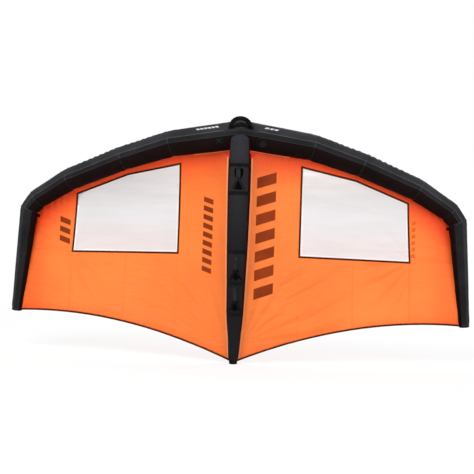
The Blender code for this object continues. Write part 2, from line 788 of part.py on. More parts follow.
def front_handle(rubber, black):
    """Arched grip with round ends that turn on the line through its feet, and a sewn tab under each end."""
    foot, span = front_foot()
    lean = Vector((0, -math.sin(FRONT_LEAN), math.cos(FRONT_LEAN)))
    across = Vector((1, 0, 0))
    centre = Vector((0, foot.y, foot.z))
    points = []
    radii = []
    for step in range(FRONT_ARCH_STEPS + 1):
        angle = math.pi * step / FRONT_ARCH_STEPS
        points.append(centre + across * foot.x * math.cos(angle) + lean * FRONT_HEIGHT * math.sin(angle))
        radii.append(FRONT_GRIP_RADIUS)
    for step in range(1, FRONT_END_STEPS + 1):
        angle = FRONT_END_TURN * step / FRONT_END_STEPS
        drop = lean * FRONT_GRIP_RADIUS * math.sin(angle)
        points.insert(0, centre + across * foot.x - drop)
        points.append(centre - across * foot.x - drop)
        radii.insert(0, FRONT_GRIP_RADIUS * math.cos(angle))
        radii.append(FRONT_GRIP_RADIUS * math.cos(angle))
    work = tube(points, radii, GRIP_SIDES_SETTING, True)
    place("front_handle_grip", work, rubber, pivot=centre)
    for side in ("left", "right"):
        low = span - FRONT_TAB_WIDTH / 2
        skin = edge_skin(low, low + FRONT_TAB_WIDTH, FRONT_TAB_LOW, FRONT_TAB_HIGH, GAP)
        tab = place(f"front_handle_tab_{side}", sided(skin, side), black)
        thicken(tab, PATCH, 1)


def stitch_patch(black):
    """Webbing square sewn on the left of the strut."""
    low = STITCH_PATCH_REACH - STITCH_PATCH_HALF_WIDTH
    high = STITCH_PATCH_REACH + STITCH_PATCH_HALF_WIDTH
    clock_low = STITCH_PATCH_CLOCK - STITCH_PATCH_HALF_ANGLE
    clock_high = STITCH_PATCH_CLOCK + STITCH_PATCH_HALF_ANGLE
    patch = place("stitch_patch", flip(edge_skin(low, high, clock_low, clock_high, GAP)), black)
    thicken(patch, PATCH, 1)


# Handles on the strut.


def band_height(index):
    """Height of a band's middle."""
    return BAND_HEIGHT_SHARES[index] * STRUT_LENGTH


def strut_skin(low, high, offset):
    """Skin round the rider's side of the strut, between two heights."""
    work = strut_tube(offset, STRUT_KNOT_SHARES[0], 1)
    middle = (low + high) / 2
    back = strut_axis(middle) + strut_radius(middle) * WRAP_BACK_SHARE
    keep_side(work, Vector((0, 0, low)), Vector((0, 0, 1)))
    keep_side(work, Vector((0, 0, high)), Vector((0, 0, -1)))
    keep_side(work, Vector((0, back, 0)), Vector((0, -1, 0)))
    return work


def strut_bands(black):
    """Webbing bands that hold the handle patches down, numbered from nose to tail."""
    for index in range(len(BAND_HEIGHT_SHARES)):
        low = band_height(index) - BAND_WIDTH / 2
        skin = strut_skin(low, low + BAND_WIDTH, GAP)
        band = place(f"strut_band_{index + 1}", skin, black)
        thicken(band, PATCH + WEBBING, 1)


def strut_handle(number, upper, lower, rubber, black, grey):
    """Handle patch, grip, upper strap and V shaped lower yoke between two bands."""
    high = band_height(upper) - BAND_WIDTH / 2 - GAP
    low = band_height(lower) + BAND_WIDTH / 2 + GAP
    wrap = place(f"handle_{number}_patch", strut_skin(low, high, GAP), grey)
    thicken(wrap, PATCH, 1)

    over = GAP + PATCH + WEBBING_CLEARANCE + WEBBING / 2
    grip_low = low + YOKE_HEIGHT
    grip_high = high - GRIP_TOP_DROP
    length = grip_high - grip_low
    heights = [grip_low, grip_low + GRIP_END_INSET]
    heights += [grip_low + length * step / 4 for step in (1, 2, 3)] + [grip_high - GRIP_END_INSET, grip_high]
    radii = [GRIP_END_RADIUS - GRIP_END_INSET / 2, GRIP_END_RADIUS] + [GRIP_RADIUS] * 3
    radii += [GRIP_END_RADIUS, GRIP_END_RADIUS - GRIP_END_INSET / 2]
    points = [strut_front(0, height, over + GRIP_STAND_OFF) for height in heights]
    foot = strut_front(0, low + YOKE_FOOT_RISE, over)
    place(f"handle_{number}_grip", tube(points, radii, GRIP_SIDES_SETTING, True), rubber, pivot=foot)

    head = points[0].z - 2 * GAP
    neck = head - YOKE_HEAD_HEIGHT
    raised = over + GRIP_STAND_OFF
    rows = [strut_row(0, YOKE_HEAD_HALF_WIDTH, head, raised)]
    for row in range(YOKE_ROWS + 1):
        share = row / YOKE_ROWS
        height = neck + (low + YOKE_FOOT_RISE - neck) * share
        outer = YOKE_HEAD_HALF_WIDTH + (YOKE_FOOT_OUTER - YOKE_HEAD_HALF_WIDTH) * share
        lift = over + GRIP_STAND_OFF * (1 - smooth(share))
        rows.append(strut_row(YOKE_FOOT_INNER * share, outer, height, lift))
    yoke = place(f"handle_{number}_yoke", sheet(rows), black)
    mirror_across_centre(yoke)
    thicken(yoke, WEBBING, 0)

    height = points[-1].z + WEBBING / 2 + 2 * GAP
    slope = (points[-1].y - points[0].y) / (points[-1].z - points[0].z)
    rows = []
    for row in range(STRAP_ROWS + 1):
        reach = (GRIP_STAND_OFF + GRIP_END_RADIUS) * row / STRAP_ROWS
        rise = (GRIP_STAND_OFF - reach) * slope
        rows.insert(0, strut_row(0, STRAP_HALF_WIDTH, height - rise, over + reach))
    rows.append(strut_row(0, STRAP_HALF_WIDTH, high - STRAP_FOOT_INSET, over))
    strap = place(f"handle_{number}_strap", sheet(rows), black)
    mirror_across_centre(strap)
    thicken(strap, WEBBING, 0)


# Valve.


def valve_pieces(black, grey, center_sleeve):
    """Patch, valve base, bayonet collar and hinged cap."""
    frame = valve_matrix()
    low = VALVE_REACH - VALVE_PATCH_HALF_WIDTH
    high = VALVE_REACH + VALVE_PATCH_HALF_WIDTH
    clock_low = VALVE_CLOCK - VALVE_PATCH_HALF_ANGLE
    clock_high = VALVE_CLOCK + VALVE_PATCH_HALF_ANGLE
    patch = place("valve_patch", edge_skin(low, high, clock_low, clock_high, GAP), black)
    thicken(patch, PATCH, 1)
    hole = valve_hole("valve_skin_hole", VALVE_NECK_RADIUS + GAP)
    combine(patch, hole, "DIFFERENCE")
    combine(center_sleeve, hole, "DIFFERENCE")

    profile = [
        (VALVE_RIM_RADIUS, VALVE_RIM_HIGH),
        (VALVE_RIM_RADIUS, VALVE_RIM_LOW),
        (VALVE_NECK_RADIUS, VALVE_RIM_LOW),
        (VALVE_NECK_RADIUS, -VALVE_DEPTH),
        (VALVE_BORE_RADIUS, -VALVE_DEPTH),
        (VALVE_BORE_RADIUS, VALVE_RIM_HIGH),
    ]
    base = turned("valve_base", profile, black, closed=True)
    base.matrix_world = frame

    seat = VALVE_RIM_HIGH + GAP
    spigot = VALVE_BORE_RADIUS - GAP
    profile = [
        (COLLAR_RADIUS, COLLAR_HIGH),
        (COLLAR_RADIUS, seat),
        (spigot, seat),
        (spigot, -COLLAR_DEPTH),
        (COLLAR_BORE_RADIUS, -COLLAR_DEPTH),
        (COLLAR_BORE_RADIUS, COLLAR_HIGH),
    ]
    collar = turned("valve_collar", profile, grey, closed=True)
    ear_inner = CAP_BARREL_LENGTH / 2 + GAP
    ear_top = CAP_HINGE_HEIGHT + EAR_HEAD
    for name, near in (("near", -ear_inner - EAR_WIDTH), ("far", ear_inner)):
        work = block((EAR_START, near, EAR_LOW), (EAR_END, near + EAR_WIDTH, ear_top))
        ear = cutter(f"collar_ear_{name}", work)
        ear.parent = collar
        combine(collar, ear, "UNION")
    reach = ear_inner + EAR_WIDTH / 2
    ends = [(CAP_HINGE_REACH, -reach, CAP_HINGE_HEIGHT), (CAP_HINGE_REACH, reach, CAP_HINGE_HEIGHT)]
    pin = cutter("collar_pin", rod(*ends, PIN_RADIUS, TURN_STEPS // 2))
    pin.parent = collar
    combine(collar, pin, "UNION")
    collar.matrix_world = frame

    cap_low = COLLAR_HIGH + GAP
    cap_high = cap_low + CAP_THICKNESS
    plug = COLLAR_BORE_RADIUS - CAP_PLUG_CLEARANCE
    profile = [(0, cap_high), (CAP_RADIUS, cap_high), (CAP_RADIUS, cap_low), (plug, cap_low)]
    profile += [(plug, cap_low - CAP_PLUG_DEPTH), (0, cap_low - CAP_PLUG_DEPTH)]
    hinge = Vector((CAP_HINGE_REACH, 0, CAP_HINGE_HEIGHT))
    cap = turned("valve_cap", profile, black, closed=False)
    half_tongue = CAP_TONGUE_WIDTH / 2
    tongue_low = cap_high - CAP_TONGUE_THICKNESS
    work = block((CAP_TONGUE_START, -half_tongue, tongue_low), (CAP_HINGE_REACH, half_tongue, cap_high))
    tongue = cutter("cap_tongue", work)
    half_barrel = Vector((0, CAP_BARREL_LENGTH / 2, 0))
    work = rod(hinge - half_barrel, hinge + half_barrel, CAP_BARREL_RADIUS, TURN_STEPS // 2)
    barrel = cutter("cap_barrel", work)
    over = Vector((0, OVERRUN, 0))
    bore = cutter("cap_bore", rod(hinge - over, hinge + over, PIN_RADIUS + GAP, TURN_STEPS // 2))
    for tool, operation in ((tongue, "UNION"), (barrel, "UNION"), (bore, "DIFFERENCE")):
        tool.parent = cap
        combine(cap, tool, operation)
    cap.matrix_world = frame


def stand_on_tail():
    """Moves the wing so that the middle of the strut's tail is at the origin."""
    setback = -strut_axis(STRUT_LENGTH * STRUT_KNOT_SHARES[0])
    for thing in list(PARTS.objects) + list(CUTTERS.objects):
        if not thing.parent:
            thing.location.y += setback


def build():
    """Builds the wing."""
    clear_scene()
    black = finish("black_sailcloth", (0.020, 0.021, 0.024), 0.62)
    webbing = finish("black_webbing", (0.012, 0.012, 0.014), 0.75)
    grey = finish("charcoal_patch", (0.030, 0.032, 0.036), 0.70)
    rubber = finish("black_foam", (0.014, 0.015, 0.017), 0.85)
    plastic = finish("black_plastic", (0.016, 0.017, 0.020), 0.45)
    orange = finish("orange_ripstop", (1.0, 0.21, 0.045), 0.55)
    film = finish("clear_film", (0.86, 0.86, 0.88), 0.25, alpha=0.6)
    brown = finish("dark_seam_tape", (0.045, 0.014, 0.008), 0.65)
    red = finish("red_ripstop", (0.72, 0.06, 0.02), 0.55)
    clear = finish("clear_bladder", (0.62, 0.66, 0.70), 0.35, alpha=0.5)

    sleeves = {side: edge_sleeves(side, black) for side in ("left", "right")}
    for side in ("left", "right"):
        tip_cap(side, webbing)
        combine(sleeves[side][0], hose_hole(f"hose_sleeve_hole_{side}"), "DIFFERENCE")
        edge = cutter(f"edge_clearance_{side}", sided(edge_tube(GAP, True, OVERRUN), side))
        canopy_pieces(side, orange, film, brown, red, webbing, edge)
    edge_bladder(clear)
    strut_pieces(black, clear, rubber)
    root_tape(brown)
    front_patch(grey)
    front_handle(rubber, webbing)
    stitch_patch(webbing)
    strut_bands(webbing)
    for number, (upper, lower) in enumerate(HANDLE_BANDS, start=1):
        strut_handle(number, upper, lower, rubber, webbing, grey)
    valve_pieces(plastic, grey, sleeves["right"][0])
    stand_on_tail()


build()
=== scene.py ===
"""Wingfoil wing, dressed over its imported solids.

Metres, +Z up. The rider is on the -Y side, the leading edge is on top, and X = 0 is the plane of symmetry.
Angles round a tube are clock angles: 0 faces the rider and a quarter turn faces the leading edge's top.
"""

import logging
import math
from dataclasses import dataclass, field
from enum import Enum
from typing import Callable, Self, Sequence

import bmesh
import bpy
from bmesh.types import BMesh
from bpy.types import Material, NodeSocket, Object
from mathutils import Matrix, Vector, noise


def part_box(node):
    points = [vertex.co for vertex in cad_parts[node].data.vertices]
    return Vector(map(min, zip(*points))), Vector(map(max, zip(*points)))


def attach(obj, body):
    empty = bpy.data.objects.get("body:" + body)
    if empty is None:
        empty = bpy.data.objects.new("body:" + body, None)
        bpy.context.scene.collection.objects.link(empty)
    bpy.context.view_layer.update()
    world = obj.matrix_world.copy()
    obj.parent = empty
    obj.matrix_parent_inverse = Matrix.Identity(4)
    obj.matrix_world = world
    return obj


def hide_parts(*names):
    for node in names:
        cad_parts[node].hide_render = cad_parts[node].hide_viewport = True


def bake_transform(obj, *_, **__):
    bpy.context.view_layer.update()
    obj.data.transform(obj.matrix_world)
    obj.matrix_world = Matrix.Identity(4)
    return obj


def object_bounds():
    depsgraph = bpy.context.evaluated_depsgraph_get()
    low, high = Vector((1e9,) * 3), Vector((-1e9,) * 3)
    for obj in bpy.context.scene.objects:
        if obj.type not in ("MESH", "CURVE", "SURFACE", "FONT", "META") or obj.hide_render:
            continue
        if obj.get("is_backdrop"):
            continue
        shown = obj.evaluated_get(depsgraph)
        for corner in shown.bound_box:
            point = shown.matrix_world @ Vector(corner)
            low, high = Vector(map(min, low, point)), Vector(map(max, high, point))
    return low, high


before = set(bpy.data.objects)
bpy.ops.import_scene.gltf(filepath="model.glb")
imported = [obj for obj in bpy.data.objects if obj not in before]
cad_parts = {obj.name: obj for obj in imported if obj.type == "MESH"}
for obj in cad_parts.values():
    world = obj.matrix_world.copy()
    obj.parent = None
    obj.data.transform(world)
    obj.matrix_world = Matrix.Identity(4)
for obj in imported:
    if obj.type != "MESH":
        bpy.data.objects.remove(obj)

LOG = logging.getLogger("wing")
Color = tuple[float, float, float]
Flat = tuple[float, float]
TO_RIDER = Vector((0, -1, 0))
FULL_TURN = 2 * math.pi
# Points nearer than this become one. Edges sharper than these angles stay crisp, or are rounded.
WELD = 0.00002
SHARP_ANGLE = math.radians(48)
BEVEL_ANGLE = math.radians(50)
# A sewn piece is made this much thinner than its room.
EASE = 0.0002
# Radii of the rounded edges.
WEBBING_EDGE = 0.0007
PATCH_EDGE = 0.0006
ROLLED_EDGE = 0.0012


class Side(Enum):
    """Side of the wing, as the picture shows it."""

    LEFT = -1
    RIGHT = 1

    @property
    def word(self) -> str:
        """The side's name in a piece's name."""
        return self.name.lower()

    def turn(self, point: Vector) -> Vector:
        """A point of the right side, on this side."""
        return Vector((point.x * self.value, point.y, point.z))


def interpolate(value: float, places: Sequence[float], values: Sequence[float]) -> float:
    """Straight line interpolation in a table, held at its ends.

    Args:
        value: Where to read the table.
        places: Rising places.
        values: The value at each place.

    Returns:
        The value there.
    """
    if value <= places[0]:
        return values[0]
    for low, high, first, last in zip(places, places[1:], values, values[1:]):
        if value <= high:
            return first + (last - first) * (value - low) / (high - low)
    return values[-1]


def smooth(share: float) -> float:
    """Smooth rise from 0 to 1."""
    share = min(max(share, 0.0), 1.0)
    return share * share * (3 - 2 * share)


def bell(distance: float, width: float) -> float:
    """Bump of height 1 that fades out at a distance."""
    return math.exp(-((distance / width) ** 2))


def steps(low: float, high: float, step: float, extra: Sequence[float] = ()) -> list[float]:
    """Even places between two ends, with some extra ones.

    Args:
        low: First place.
        high: Last place.
        step: Largest distance between places.
        extra: More places, kept where they lie between the ends.

    Returns:
        The places in rising order.
    """
    count = max(1, math.ceil((high - low) / step))
    even = [low + (high - low) * index / count for index in range(count + 1)]
    wanted = [place for place in extra if low < place < high]
    kept = [place for place in even if all(abs(place - other) > step / 4 for other in wanted)]
    return sorted({low, high, *kept, *wanted})


def between(first: Flat, last: Flat, share: float) -> Flat:
    """Place at a share of the way from one place to another."""
    return first[0] + (last[0] - first[0]) * share, first[1] + (last[1] - first[1]) * share


def turns_round(count: int, start: float = 0.0) -> list[float]:
    """Even angles once round."""
    return [start + FULL_TURN * index / count for index in range(count)]


# Lines of the wing.


@dataclass(frozen=True)
class Ring:
    """Ring of the leading edge tube at a seam."""

    centre: Vector
    forward: Vector
    upward: Vector
    radius: float

    def point(self, clock: float, lift: float) -> Vector:
        """Point of the ring at a clock angle, lifted off the skin."""
        outward = self.forward * math.cos(clock) + self.upward * math.sin(clock)
        return self.centre + outward * (self.radius + lift)


@dataclass(frozen=True)
class WingLines:
    """The lines that the tubes, the sail and the fittings follow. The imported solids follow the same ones."""

    dihedral: float = math.radians(12)
    half_span: float = 1.605
    axis_height: float = 1.540
    edge_radius: float = 0.098
    seam_spans: tuple[float, ...] = (0, 0.301, 0.517, 0.766, 0.919, 0.955, 1)
    seam_heights: tuple[float, ...] = (1, 0.962, 0.8955, 0.7955, 0.701, 0.652, 0.182)
    seam_radii: tuple[float, ...] = (1, 0.914, 0.847, 0.794, 0.730, 0.665, 0.380)
    seam_shifts: tuple[float, ...] = (0, 0, 0, 0, 0.006, -0.006, 0)
    strut_length: float = 1.534
    strut_full_radius: float = 0.0695
    strut_knots: tuple[float, ...] = (0.018, 0.046, 0.217, 0.351, 0.488, 0.742, 0.862, 0.971, 1)
    strut_radii: tuple[float, ...] = (0.43, 0.50, 0.71, 0.80, 0.90, 1, 1, 0.96, 0.80)
    nose_lead: float = 0.105
    tail_lead: float = 0.060
    bow: float = 0.045
    trailing_root: float = 0.003
    trailing_tip: float = 0.271
    trailing_arch: float = 0.098
    hem: float = 0.012
    billow: float = 0.055
    setback: float = 0.050
    setback_share: float = 0.12
    canopy_root: float = 0.0008
    canopy_clearance: float = 0.0022
    window_spans: tuple[float, ...] = (0.262, 0.499, 0.734, 0.751, 0.2635)
    window_heights: tuple[float, ...] = (0.874, 0.8245, 0.7325, 0.4625, 0.472)

    @property
    def tail_shift(self) -> float:
        """How far the wing is moved in Y so that the strut's tail stands on the origin.

        Returns:
            The distance in metres.
        """
        share = 1 - self.strut_knots[0]
        lead = self.nose_lead + (self.tail_lead - self.nose_lead) * share
        return lead - self.bow * 4 * share * (1 - share)

    def seam_points(self) -> list[Vector]:
        """Axis points of the tube, from the centre seam to the right tip.

        Returns:
            The points.
        """
        slope = math.tan(self.dihedral)
        return [
            Vector((s * self.half_span, s * self.half_span * slope + self.tail_shift + b, h * self.axis_height))
            for s, h, b in zip(self.seam_spans, self.seam_heights, self.seam_shifts)
        ]

    def rings(self) -> list[Ring]:
        """The tube's rings on the right side, each square to the middle direction of its two panels.

        Returns:
            The rings, from the centre seam outwards.
        """
        points = self.seam_points()
        runs = [(b - a).normalized() for a, b in zip(points, points[1:])]
        rings = []
        for index, point in enumerate(points):
            if index == 0:
                normal = Vector((1, 0, 0))
            elif index == len(points) - 1:
                normal = runs[-1]
            else:
                normal = (runs[index - 1] + runs[index]).normalized()
            forward = (TO_RIDER - normal * TO_RIDER.dot(normal)).normalized()
            radius = self.edge_radius * self.seam_radii[index]
            rings.append(Ring(point, forward, forward.cross(normal), radius))
        return rings

    def edge_height(self, span: float) -> float:
        """Height of the leading edge's axis at a distance from the centre plane."""
        spans = [s * self.half_span for s in self.seam_spans[:-1]]
        return interpolate(span, spans, [h * self.axis_height for h in self.seam_heights[:-1]])

    def trailing_height(self, span: float) -> float:
        """Height of the trailing edge at a distance from the centre plane.

        Args:
            span: Distance from the centre plane.

        Returns:
            The height.
        """
        share = span / self.half_span
        chord = self.trailing_root + (self.trailing_tip - self.trailing_root) * share
        return chord + self.trailing_arch * 4 * share * (1 - share)

    def strut_axis(self, height: float) -> float:
        """Y of the strut's centre line at a height.

        Args:
            height: Height over the tail.

        Returns:
            Its Y.
        """
        share = 1 - height / self.strut_length
        lead = self.nose_lead + (self.tail_lead - self.nose_lead) * share
        return self.bow * 4 * share * (1 - share) - lead + self.tail_shift

    def strut_radius(self, height: float) -> float:
        """Radius of the strut's skin at a height."""
        share = height / self.strut_length
        return self.strut_full_radius * interpolate(share, self.strut_knots, self.strut_radii)

    def strut_front(self, span: float, height: float, offset: float) -> Vector:
        """Point on the rider's side of the strut, at an offset from its skin."""
        radius = self.strut_radius(height) + offset
        return Vector((span, self.strut_axis(height) - math.sqrt(radius * radius - span * span), height))

    def strut_round(self, height: float, turn: float, offset: float) -> Vector:
        """Point round the strut, at a turn from its front and an offset from its skin."""
        radius = self.strut_radius(height) + offset
        return Vector((radius * math.sin(turn), self.strut_axis(height) - radius * math.cos(turn), height))

    def sail_depth(self, span: float, height: float) -> float:
        """Y of the sail's middle surface.

        Args:
            span: Distance from the centre plane.
            height: Height over the tail.

        Returns:
            Its Y, without folds.
        """
        top = self.edge_height(span)
        fall = (top - height) / (top - self.trailing_height(span))
        root_height = self.axis_height - fall * (self.axis_height - self.trailing_root)
        full = self.strut_knots[-3] * self.strut_length
        back = self.strut_axis(root_height) + self.strut_radius(min(root_height, full)) + self.canopy_clearance
        reach = span / self.half_span
        setback = self.setback * smooth(reach / self.setback_share) * (1 - fall) ** 2
        billow = self.billow * math.sin(math.pi * reach) * math.sin(math.pi * min(max(fall, 0), 1))
        shift = self.tail_shift
        return span * math.tan(self.dihedral) + (back - shift) * (1 - reach * reach) + setback + billow + shift

    def sail_place(self, across: float, down: float) -> Flat:
        """Span and height of a point of the sail's patch, which has curved sides.

        Args:
            across: Share from the root to the tube's corner and tip.
            down: Share from the leading edge's axis to the hem.

        Returns:
            The span and the height.
        """
        points = self.seam_points()
        corner, tip = points[-2], points[-1]
        root = self.canopy_root
        top_chord = Vector((root, self.axis_height)).lerp(Vector((corner.x, corner.z)), across)
        low_root = Vector((root, self.trailing_height(root) + self.hem))
        low_chord = low_root.lerp(Vector((tip.x, self.trailing_height(tip.x) + self.hem)), across)
        top_side = Vector((top_chord.x, self.edge_height(top_chord.x)))
        low_side = Vector((low_chord.x, self.trailing_height(low_chord.x) + self.hem))
        flat = top_chord.lerp(low_chord, down)
        flat += (top_side - top_chord) * (1 - down) + (low_side - low_chord) * down
        return flat.x, flat.y

    def window_outline(self) -> list[Flat]:
        """The window's corners on the right side, as spans and heights."""
        return [(s * self.half_span, h * self.axis_height) for s, h in zip(self.window_spans, self.window_heights)]

    def edge_clearance(self, point: Vector) -> float:
        """Distance of a point from the right tube's skin, below 0 inside it.

        Args:
            point: The point, on the right side.

        Returns:
            The distance in metres.
        """
        best = math.inf
        points = self.seam_points()
        radii = [self.edge_radius * share for share in self.seam_radii]
        for a, b, first, last in zip(points, points[1:], radii, radii[1:]):
            run = b - a
            share = min(max((point - a).dot(run) / run.length_squared, 0), 1)
            best = min(best, (point - a.lerp(b, share)).length - (first + (last - first) * share))
        return best


# Mesh tools.


def add_object(name: str, data: bpy.types.ID) -> Object:
    """Puts a mesh, a lamp or a camera in the scene.

    Args:
        name: Its name.
        data: Its mesh, lamp or camera data.

    Returns:
        The object.
    """
    thing = bpy.data.objects.new(name, data)
    bpy.context.scene.collection.objects.link(thing)
    return thing


def apply_changes(thing: Object) -> None:
    """Makes a piece's modifiers part of its mesh.

    Args:
        thing: The piece.
    """
    depsgraph = bpy.context.evaluated_depsgraph_get()
    mesh = bpy.data.meshes.new_from_object(thing.evaluated_get(depsgraph))
    thing.modifiers.clear()
    thing.data = mesh


class Patchwork:
    """A mesh under construction: its points, its faces, their finish and their flat places in metres."""

    def __init__(self) -> None:
        """Starts an empty mesh."""
        self.points: list[Vector] = []
        self.faces: list[tuple[int, ...]] = []
        self.flats: list[tuple[Flat, ...]] = []
        self.finishes: list[int] = []

    def grid(
        self,
        rows: Sequence[Sequence[Vector]],
        flats: Sequence[Sequence[Flat]] = (),
        finish: Callable[[int, int], int] | int = 0,
    ) -> Self:
        """Adds a sheet of four sided faces.

        Args:
            rows: Rows of points of the same length.
            flats: The flat place of each point in metres, or none where that is its X and Z.
            finish: The finish of every face, or of the face at a row and a column.

        Returns:
            This mesh.
        """
        flats = flats or [[(point.x, point.z) for point in row] for row in rows]
        start = len(self.points)
        width = len(rows[0])
        for row in rows:
            self.points.extend(row)
        for i in range(len(rows) - 1):
            for j in range(width - 1):
                a = start + i * width + j
                self.faces.append((a, a + 1, a + width + 1, a + width))
                self.flats.append((flats[i][j], flats[i][j + 1], flats[i + 1][j + 1], flats[i + 1][j]))
                self.finishes.append(finish(i, j) if callable(finish) else finish)
        return self

    def shape(self, points: Sequence[Vector], faces: Sequence[tuple[int, ...]]) -> None:
        """Adds loose faces of the first finish.

        Args:
            points: Their points.
            faces: Indexes into these points.
        """
        start = len(self.points)
        self.points.extend(points)
        for face in faces:
            self.faces.append(tuple(start + index for index in face))
            self.flats.append(tuple((points[index].x, points[index].z) for index in face))
            self.finishes.append(0)

    def tube(
        self,
        rings: Sequence[Sequence[Vector]],
        girths: Sequence[Flat],
        finish: Callable[[int, int], int] | int = 0,
        capped: bool = True,
        along_first: bool = False,
    ) -> Self:
        """Adds a tube.

        Args:
            rings: Its rings of points.
            girths: For each ring, its radius and its distance along the tube.
            finish: The finish of every face, or of the face at a ring and a column.
            capped: Whether a face closes each end.
            along_first: Whether the first flat measure runs along the tube and not round it.

        Returns:
            This mesh.
        """
        count = len(rings[0])
        turns = [*turns_round(count), FULL_TURN]
        flats = [[(turn * radius, along) for turn in turns] for radius, along in girths]
        if along_first:
            flats = [[(along, round_it) for round_it, along in row] for row in flats]
        self.grid([[*ring, ring[0]] for ring in rings], flats, finish)
        if capped:
            for ring in (rings[0], rings[-1]):
                self.shape(ring, [tuple(range(count))])
        return self

    @staticmethod
    def turn_islands(work: BMesh, face_to: Vector) -> None:
        """Turns each separate part of an open sheet to face a direction.

        Args:
            work: The sheet, with even normals in each part.
            face_to: The direction.
        """
        waiting = set(work.faces)
        while waiting:
            front = [waiting.pop()]
            island = list(front)
            while front:
                linked = {near for edge in front.pop().edges for near in edge.link_faces} & waiting
                waiting -= linked
                front.extend(linked)
                island.extend(linked)
            if sum(face.normal.dot(face_to) * face.calc_area() for face in island) < 0:
                bmesh.ops.reverse_faces(work, faces=island)

    def build(
        self,
        name: str,
        finishes: Sequence[Material],
        thickness: float = 0,
        rounding: float = 0,
        face_to: Vector | None = None,
        weld: bool = False,
        node: str = "",
        slot: str = "",
        body: str = "wing",
    ) -> Object:
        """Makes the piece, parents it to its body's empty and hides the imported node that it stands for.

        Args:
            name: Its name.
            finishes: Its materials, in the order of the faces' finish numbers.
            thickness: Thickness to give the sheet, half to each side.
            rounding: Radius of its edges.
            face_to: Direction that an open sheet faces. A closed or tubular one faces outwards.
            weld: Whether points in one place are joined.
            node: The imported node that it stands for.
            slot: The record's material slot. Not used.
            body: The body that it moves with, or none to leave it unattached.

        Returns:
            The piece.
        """
        mesh = bpy.data.meshes.new(name)
        mesh.from_pydata(self.points, [], self.faces)
        layer = mesh.uv_layers.new(name="flat")
        layer.data.foreach_set("uv", [value for flat in self.flats for place in flat for value in place])
        mesh.polygons.foreach_set("material_index", self.finishes)
        for finish in finishes:
            mesh.materials.append(finish)
        work = bmesh.new()
        work.from_mesh(mesh)
        if weld:
            bmesh.ops.remove_doubles(work, verts=work.verts, dist=WELD)
        bmesh.ops.recalc_face_normals(work, faces=work.faces)
        if face_to is not None:
            self.turn_islands(work, face_to)
        work.to_mesh(mesh)
        work.free()
        thing = add_object(name, mesh)
        if thickness:
            change = thing.modifiers.new("Thickness", "SOLIDIFY")
            change.thickness = thickness
            change.offset = 0
            change.use_even_offset = True
        if rounding:
            change = thing.modifiers.new("Rounding", "BEVEL")
            change.width = rounding
            change.segments = 2
            change.limit_method = "ANGLE"
            change.angle_limit = BEVEL_ANGLE
        if thickness or rounding:
            apply_changes(thing)
        thing.data.shade_smooth()
        thing.data.set_sharp_from_angle(angle=SHARP_ANGLE)
        if body:
            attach(thing, body)
        if node:
            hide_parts(node)
        return thing


@dataclass
class Thread:
    """Rows of short raised stitches, gathered in one mesh."""

    name: str
    length: float = 0.0052
    pitch: float = 0.0072
    width: float = 0.0014
    height: float = 0.0007
    work: Patchwork = field(default_factory=Patchwork)

    def stitch(self, start: Vector, end: Vector, normal: Vector) -> None:
        """Adds one stitch.

        Args:
            start: Where it goes in.
            end: Where it comes out.
            normal: Direction away from the cloth.
        """
        middle = (start + end) / 2
        across = (end - start).cross(normal).normalized() * (self.width / 2)
        top = middle + normal * self.height
        low = normal * -self.height
        points = [start + low, middle + across + low, end + low, middle - across + low, top]
        self.work.shape(points, [(0, 1, 4), (1, 2, 4), (2, 3, 4), (3, 0, 4)])

    def run(self, points: Sequence[Vector], normals: Sequence[Vector] | Vector) -> None:
        """Sews a straight row along a path.

        Args:
            points: Points of the path.
            normals: Direction away from the cloth, the same all along or one for each point.
        """
        if isinstance(normals, Vector):
            normals = [normals] * len(points)
        travelled = 0.0
        due = self.pitch / 2
        for a, b, normal in zip(points, points[1:], normals):
            step = (b - a).length
            if step == 0:
                continue
            along = (b - a) / step
            half = along * (self.length / 2)
            while due < travelled + step:
                middle = a + along * (due - travelled)
                self.stitch(middle - half, middle + half, normal)
                due += self.pitch
            travelled += step

    def build(self, finish: Material, body: str = "wing") -> Object:
        """Makes the stitches' piece."""
        return self.work.build(self.name, [finish], face_to=TO_RIDER, body=body)


# Finishes.


